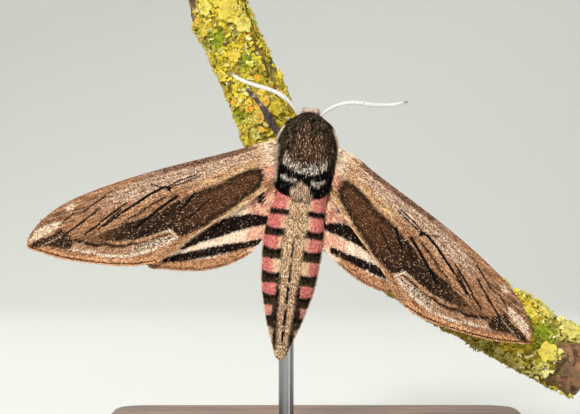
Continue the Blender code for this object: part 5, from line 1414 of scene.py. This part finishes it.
def makeBranch():
    middles, across, radii, along = branchFrames(branch["rings"])
    angles = turnsOf(branch["sides"])
    angle, share = np.meshgrid(angles, along)
    ways = across[:, None] * np.cos(angle)[..., None] + np.array([0, 1, 0]) * np.sin(angle)[..., None]
    relief = radii[:, None] + barkRelief(share, angle) - branch["cover"]
    points = (middles[:, None] + ways * relief[..., None]).reshape(-1, 3)
    x, y, z = points.T
    front = ramp(-y, -1.5, 1.5)
    bare = front * ramp(-regionDistance(points[:, [0, 2]], barkSlope) + 0.8 * noiseAt(points, 0.5, 4), -0.5, 0.5)
    crack = (front * ramp(1.0 + 0.8 * noiseAt(points, 0.9, 8)
                          - lineDistance(points[:, [0, 2]], barkCrack), -0.15, 0.15))
    patches = ramp(noiseAt(points, 0.16, 2), -0.42, -0.3) * (1 - ramp(-x, 23.4, 24.2) * ramp(z, 83.0, 84.0))
    lichen = (1 - bare) * (1 - crack) * np.maximum(patches, 0.6 * front * (x > -23.4))
    lumps = branch["crust"] * (noiseAt(points, 1.1, 1) + 0.5 * noiseAt(points, 2.6, 3)) * (0.35 + 0.65 * lichen)
    ribs = 0.30 * (1 - lichen) * noiseAt(points, 0.9, 6) - 0.75 * crack + 0.08 * noiseAt(points, 5.0, 9)
    # a thick pad of lichen above the right wing
    shoulder = 0.9 * np.exp(-(((x - 36.5) / 2.6) ** 2 + ((z - 32.4) / 2.6) ** 2))
    points = points + ways.reshape(-1, 3) * (lumps + ribs + shoulder)[:, None]
    count, sides = len(along), len(angles)
    shapePoints = [points]
    faces = [tuple(f) for f in gridFaces(count, sides, closed=True)]
    total = len(points)
    caps = {"lichen": [lichen], "bare": [np.maximum(bare, crack)], "ringSize": [np.ones(total)]}
    for end in (0, count - 1):  # the cut ends, dished a little
        last = np.arange(sides) + end * sides
        rimPoints = points[last]
        heart = rimPoints.mean(0)
        outwards = np.cross(across[end], (0, 1, 0)) * (-1 if end else 1)
        for size in (0.93, 0.8, 0.62, 0.42, 0.2, 0.06):
            ring = heart + (rimPoints - heart) * size
            dish = 0.12 * math.sin(size * 26) - 0.25 * (1 - size)
            shapePoints.append(ring + outwards * dish)
            new = np.arange(sides) + total
            faces += [(int(last[j]), int(last[(j + 1) % sides]), int(new[(j + 1) % sides]), int(new[j]))
                      for j in range(sides)]
            last, total = new, total + sides
            caps["lichen"].append(np.zeros(sides))
            caps["bare"].append(np.ones(sides))
            caps["ringSize"].append(np.full(sides, size * 0.9))
        shapePoints.append(heart[None])
        faces += [(int(last[j]), int(last[(j + 1) % sides]), total) for j in range(sides)]
        caps["lichen"].append([0.0])
        caps["bare"].append([1.0])
        caps["ringSize"].append([0.0])
        total += 1
    points = np.vstack(shapePoints)
    skin = meshPiece("branch_bark", points * 0.001, faces)
    faceOut(skin)
    fields = {key: np.concatenate(values) for key, values in caps.items()}
    x, y, z = points.T
    moss = np.max([ramp(size + 0.9 * noiseAt(points, 0.7, 5) - np.hypot(x - mx, z - mz), -0.5, 0.5)
                   for mx, mz, size in mossSpots], axis=0) * ramp(-y, -1.0, 1.0)
    fields["moss"] = np.maximum(moss, ramp(noiseAt(points, 0.2, 12), 0.28, 0.42))
    fields["paleLichen"] = ramp(noiseAt(points, 0.22, 15) + 0.012 * (x - 18), 0.1, 0.35)
    cups = (np.max([ramp(size + 0.5 - np.hypot(x - mx, z - mz), 0, 0.5) for mx, mz, size in cupSpots], axis=0)
            * ramp(-y, 0, 1.5))
    fields["cupDensity"] = ((np.maximum(cups * 1.6, 0.22 * ramp(noiseAt(points, 0.25, 21), 0.12, 0.3)))
                            * fields["lichen"])
    swirl = np.column_stack([noiseAt(points, 0.45, 31), noiseAt(points, 0.45, 37),
                             noiseAt(points, 0.45, 41) - 0.15])
    fields["furLie"] = swirl
    fields["furDensity"] = fields["lichen"] * (1 - 0.25 * fields["moss"]) * (1 - 0.5 * ramp(y, 3.0, 6.0))
    fields["furLength"] = 1 + 0.35 * fields["paleLichen"] - 0.45 * fields["moss"]
    fields["furLift"] = 1 + 0.3 * fields["moss"]
    giveFields(skin.data, fields)
    return skin


def lobeShape(name, edge, crinkle, rise):  # one curled lobe of lichen, a thin closed plate rooted at the origin
    rows, columns = (0.1, 0.6, 1.0), 5
    turns = np.radians(np.linspace(-68, 68, columns))
    top, low, spots, rims = [], [], [], []
    for row in rows:
        for j, turn in enumerate(turns):
            reach = row * (edge[j] if row > 0.7 else 1.0)
            x, y = reach * math.cos(turn * 0.8), 0.75 * reach * math.sin(turn)
            z = rise * row**1.5 + crinkle * row * row * math.sin(5 * turn + rise * 40) - (0.12 if row == 1.0 else 0)
            top.append((x, y, z + 0.05))
            low.append((x, y, z - 0.06 - 0.1 * (row < 0.2)))
            spots.append((x - 0.5, y * 0.66, 0))
            rims.append(row)
    count = len(top)
    faces = [tuple(f) for f in gridFaces(len(rows), columns)]
    faces += [tuple(i + count for i in f[::-1]) for f in faces]
    rim = list(range(columns)) + [i * columns + columns - 1 for i in range(1, len(rows))]
    rim += ([(len(rows) - 1) * columns + j for j in range(columns - 2, -1, -1)]
            + [i * columns for i in range(len(rows) - 2, 0, -1)])
    faces += [(a, b, b + count, a + count) for a, b in zip(rim, rim[1:] + rim[:1])]
    lobe = meshPiece(name, top + low, faces, {"tuftSpot": spots * 2, "rimShare": rims * 2,
                                              "lobeUnder": [0.0] * count + [1.0] * count})
    faceOut(lobe)
    lobe.hide_render = True
    return lobe


def cupShape():  # one fruiting disc, hollow, with a raised rim
    rings = ((0.16, 0.0, 0), (0.44, 0.24, 0), (0.5, 0.36, 1), (0.42, 0.38, 1), (0.22, 0.27, 0))
    sides = 9
    points = [(r * math.cos(math.tau * j / sides), r * math.sin(math.tau * j / sides), z) for r, z,
              _ in rings for j in range(sides)]
    rims = [float(rim) for *_, rim in rings for j in range(sides)]
    faces = [tuple(f) for f in gridFaces(len(rings), sides, closed=True)]
    heart, foot = len(points), len(points) + 1
    points += [(0, 0, 0.24), (0, 0, 0)]
    rims += [0.0, 0.0]
    faces += [((len(rings) - 1) * sides + j, (len(rings) - 1) * sides + (j + 1) % sides, heart)
              for j in range(sides)]
    faces += [(j, (j + 1) % sides, foot) for j in range(sides)]
    cup = meshPiece("cup", points, faces, {"tuftSpot": [(x, y, 0) for x, y, z in points], "rimShare": rims})
    faceOut(cup)
    cup.hide_render = True
    return cup


def barkFinish():
    bark = Finish("bark", Roughness=0.85, Specular_IOR_Level=0.15)
    long = bark.node("ShaderNodeMapping", {},
                     {"Vector": bark.place, "Rotation": (0, math.radians(-32), 0), "Scale": (1.0, 1.0, 0.35)})
    plates, fine = bark.grain(700, 4, long), bark.grain(2600, 4)
    bark.top = bark.mix(plates.rise(0.35, 0.65), "3f2f25", "8a6c52")
    bark.lay(fine.rise(0.55, 0.7) * 0.7, "a98a6c")
    bark.lay(bark.grain(1500, 2).rise(0.58, 0.66) * 0.6, "b07a5e")
    bark.lay(bark.grain(1300, 3).rise(0.54, 0.62) * bark.grain(240, 2).rise(0.4, 0.6) * 0.8, "7f8432")
    bark.lay(bark.cells(900).rise(0.0, 0.16) * -1 + 1, "2a1d16")
    bark.lay(bark.field("bare") * bark.grain(420, 3).rise(0.5, 0.6) * 0.35, "b0755a")
    crust = bark.mix(fine.rise(0.35, 0.65), "94831a", "dcc93e")
    crust = bark.mix(bark.field("moss"), crust, bark.mix(fine, "667a12", "a9b52c"))
    crust = bark.mix(bark.grain(1900, 3).rise(0.62, 0.68) * 0.8, crust, "4a3c20")
    bark.lay(bark.field("lichen") * bark.grain(500, 3).rise(0.3, 0.42), crust)
    rings = (bark.field("ringSize") * 60.0 + 4 * bark.grain(300, 2)).sum("SINE")
    wood = bark.mix(rings.rise(-0.6, 0.9), "9c7a52", "d6bb8c")
    bark.lay(1 - bark.field("ringSize").rise(0.88, 0.97), wood)
    bark.colour(bark.top)
    bark.bump(plates + 0.6 * fine, 0.7, 0.0004)
    return bark.material


def lichenFinish():
    lichen = Finish("lichenLobes", Roughness=0.8, Specular_IOR_Level=0.12)
    luck, fine, broad = lichen.field("hairChance"), lichen.grain(2200, 3), lichen.grain(170, 3)
    yellow = lichen.mix(luck, "b89e14", "efdb40")
    yellow = lichen.mix(broad.rise(0.45, 0.6), yellow, lichen.mix(luck, "cfa616", "f9e552"))
    pale = lichen.mix(luck, "c8c060", "f4efaa")
    moss = lichen.mix(luck, "5c750a", "bcc432")
    lichen.top = lichen.mix(lichen.field("paleLichen") * 0.8, yellow, pale)
    lichen.lay(lichen.field("moss"), moss)
    lichen.lay(luck.rise(0.84, 0.9) * 0.85, lichen.mix(fine, "e2dc9a", "faf6c8"))
    lichen.lay(luck.fall(0.06, 0.12), "75653a")
    # painted highlight: each lobe lighter along its rim
    lichen.lay(lichen.field("rimShare").rise(0.75, 1.0) * 0.45, "ecdf6a")
    # painted shade: each lobe darker towards where it sits on the bark, down between the lobes
    lichen.lay(lichen.field("rimShare").fall(0.1, 0.6) * 0.4, "6a621e")
    lichen.lay(fine.rise(0.52, 0.7) * 0.45, "8f8430")
    lichen.lay(lichen.field("lobeUnder") * 0.45, "ccc270")
    lichen.colour(lichen.top)
    lichen.bump(fine + lichen.grain(5200, 2), 0.6, 0.00012)
    return lichen.material


def cupFinish():
    cup = Finish("lichenCups", Roughness=0.6, Specular_IOR_Level=0.35)
    fine, luck = cup.grain(3500, 2), cup.field("hairChance")
    disc = cup.mix(luck, "ee961a", "fcb636")
    disc = cup.mix(fine.rise(0.4, 0.7) * 0.4, disc, "c97c18")
    cup.colour(cup.mix(cup.field("rimShare").rise(0.65, 0.95), disc, cup.mix(luck, "d8c83e", "f0e483")))
    cup.bump(fine, 0.4, 0.00008)
    return cup.material


def branchUnwrap(roots):
    middles, across, _, _ = branchFrames(branch["rings"])
    places, stride = np.asarray(roots) * 1000, 4
    near = np.linalg.norm(places[:, None] - middles[None, ::stride], axis=2).argmin(axis=1) * stride
    offset = places - middles[near]
    angle = np.arctan2(offset[:, 1], (offset * across[near]).sum(1))
    return inMap(np.column_stack([near / (branch["rings"] - 1), angle / math.tau + 0.5]))


lichenLobes = {"Thickness": 0.0011, "Lift": 0.2, "Spread": 3.1}
barkSkin = makeBranch()
barkMaterial, lichenMaterial, cupMaterial = barkFinish(), lichenFinish(), cupFinish()
finishPiece(barkSkin, barkMaterial, ("branch",))
lobes = (("lichenBroad", (0.75, 1.05, 0.8, 1.1, 0.75), 0.13, 0.30, 0.50, 0.0013, 0.0015),
         ("lichenCurled", (0.9, 0.65, 1.05, 0.7, 1.0), 0.20, 0.50, 0.70, 0.0010, 0.0011),
         ("lichenSmall", (1.0, 0.75, 1.0, 0.7, 0.9), 0.16, 0.70, 0.80, 0.0007, 0.0008))
for number, (lobeName, edge, crinkle, rise, density, length, width) in enumerate(lobes):
    growCoat(lobeName, barkSkin, lobeShape(lobeName + "One", edge, crinkle, rise),
             {**lichenLobes, "Density": density * 1e6, "Length": length, "Width": width, "Seed": 40 + number},
             lichenMaterial, branchUnwrap)
for spot, value in (("furDensity", readField(barkSkin.data, "cupDensity")),
                    ("furLength", np.ones(len(barkSkin.data.vertices)))):
    barkSkin.data.attributes[spot].data.foreach_set("value", value.astype(np.float32))
growCoat("lichenCups", barkSkin, cupShape(),
         {"Density": 0.9e6, "Length": 0.0016, "Width": 0.0016, "Thickness": 0.0013, "Lift": 0.1,
                                              "Spread": 3.1, "Seed": 51}, cupMaterial, branchUnwrap)
dropFields(barkSkin.data, (*furFields, "cupDensity"))

largeLobes = (  # x, z and size in mm, how pale, and a turn in radians
    (49.9, 22.9, 4.3, 0.9, 0.4), (45.2, 18.4, 3.9, 0.25, 2.4), (37.7, 17.3, 2.2, 0.8, 1.0),
    (35.8, 18.7, 2.1, 0.9, 3.0),
    (39.4, 16.6, 2.4, 0.7, 5.0), (-22.1, 86.0, 2.8, 0.5, 1.0), (-17.2, 85.6, 5.0, 0.35, 2.0),
    (-14.6, 83.0, 3.6, 0.5, 0.3),
    (-22.4, 81.6, 2.5, 0.1, 4.0), (-13.9, 69.7, 1.9, 1.0, 2.2), (-12.7, 64.2, 1.9, 0.8, 1.2),
    (-12.2, 61.2, 2.0, 0.9, 5.2),
    (-18.6, 72.8, 2.2, 0.2, 0.9), (-8.2, 66.2, 2.8, 0.1, 3.3), (-14.6, 62.8, 2.0, 0.3, 2.7),
    (-16.4, 76.6, 2.6, 0.3, 1.9),
    (41.8, 26.4, 2.8, 0.2, 0.2),
)


def makeLargeLobes():  # a few broad scalloped lobes, draped over the bark
    middles, across, radii, along = branchFrames(branch["rings"])
    shares, sides = (0.0, 0.3, 0.6, 0.82, 0.94, 1.0), 26
    points, faces, fields = [], [], {"rimShare": [], "lobeUnder": [], "hairChance": [], "paleLichen": []}
    turns = turnsOf(sides)
    for x, z, size, paleness, start in largeLobes:
        k = np.linalg.norm(middles[:, [0, 2]] - (x, z), axis=1).argmin()
        offset = np.array([x, z]) - middles[k][[0, 2]]
        heart = math.asin(max(-0.93, min(0.93, float(offset @ across[k][[0, 2]]) / radii[k])))
        step = np.linalg.norm(middles[1:] - middles[:-1], axis=1).mean()
        for under in (0, 1):
            base = len(points)
            for share in shares:
                edge = 1 + 0.13 * np.sin(5 * turns + start) + 0.08 * np.sin(9 * turns + 3 * start)
                lift = 0.30 + 0.34 * share**2 * (1 + 0.5 * np.sin(7 * turns + 2 * start)) - 0.3 * (share == 1.0)
                lift = lift - under * (0.16 - 0.1 * (share == 1.0)) - 0.35 * under * (share < 0.5)
                for turn, far, rise in zip(turns, edge, lift):
                    reach = size / 2 * share * far
                    near = int(np.clip(k + round(reach * math.cos(turn) / step), 0, branch["rings"] - 1))
                    angle = heart + reach * math.sin(turn) / radii[near]
                    way = across[near] * math.sin(angle) + np.array([0, -1, 0]) * math.cos(angle)
                    points.append(middles[near] + way
                                  * (radii[near] + barkRelief(along[near], -math.pi / 2 + angle) - 0.35 + rise))
                fields["rimShare"] += [0.25 + 0.75 * share] * sides
                fields["lobeUnder"] += [float(under)] * sides
                fields["hairChance"] += [0.5 + 0.25 * math.sin(9 * start)] * sides
                fields["paleLichen"] += [paleness] * sides
            made = [tuple(int(i) + base for i in f) for f in gridFaces(len(shares), sides, closed=True)]
            faces += [f[::-1] for f in made] if under else made
        rim = (len(shares) - 1) * sides
        other = base - len(shares) * sides
        faces += [(other + rim + j, other + rim + (j + 1) % sides, base + rim + (j + 1) % sides, base + rim + j)
                  for j in range(sides)]
    lobe = meshPiece("lichenLarge", np.array(points) * 0.001, faces, fields)
    faceOut(lobe, 1e-7)
    lobe.data.shade_smooth()
    giveBakeMap(lobe.data, branchUnwrap(pointsOf(lobe.data)))
    finishPiece(lobe, lichenMaterial)


makeLargeLobes()
print("branch")

# the stand's two solids are shown as they are


def woodFinish():
    wood = Finish("standWood", Roughness=0.45, Specular_IOR_Level=0.4, Coat_Weight=0.15)
    slow = wood.node("ShaderNodeMapping", {}, {"Vector": wood.place, "Scale": (7, 60, 60)})
    rings = (wood.grain(1.6, 4, slow) * 34.0).sum("SINE")
    pores = wood.grain(1.0, 3, wood.node("ShaderNodeMapping", {},
                                         {"Vector": wood.place, "Scale": (180, 2600, 2600)}))
    wood.top = wood.mix(rings.rise(-0.8, 0.9), "5a3a24", "7f573a")
    wood.lay(pores.rise(0.58, 0.68) * 0.6, "3a2416")
    wood.colour(wood.top)
    wood.rough(0.4 + 0.2 * pores)
    wood.bump(pores + 0.3 * rings, 0.25, 0.0001)
    return wood.material


def steelFinish():
    steel = Finish("brushedSteel", Metallic=1.0, Roughness=0.3)
    brushed = steel.grain(1.0, 3, steel.node("ShaderNodeMapping", {},
                                             {"Vector": steel.place, "Scale": (600, 600, 24000)}))
    steel.colour(steel.mix(brushed, "8f9192", "b9bbbb"))
    steel.rough(0.24 + 0.22 * brushed)
    steel.bump(brushed, 0.15, 0.00003)
    return steel.material


for nodeName, standMaterial in (("stand_base", woodFinish()), ("stand_rod", steelFinish())):
    paint(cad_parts[nodeName], standMaterial)
print("stand")
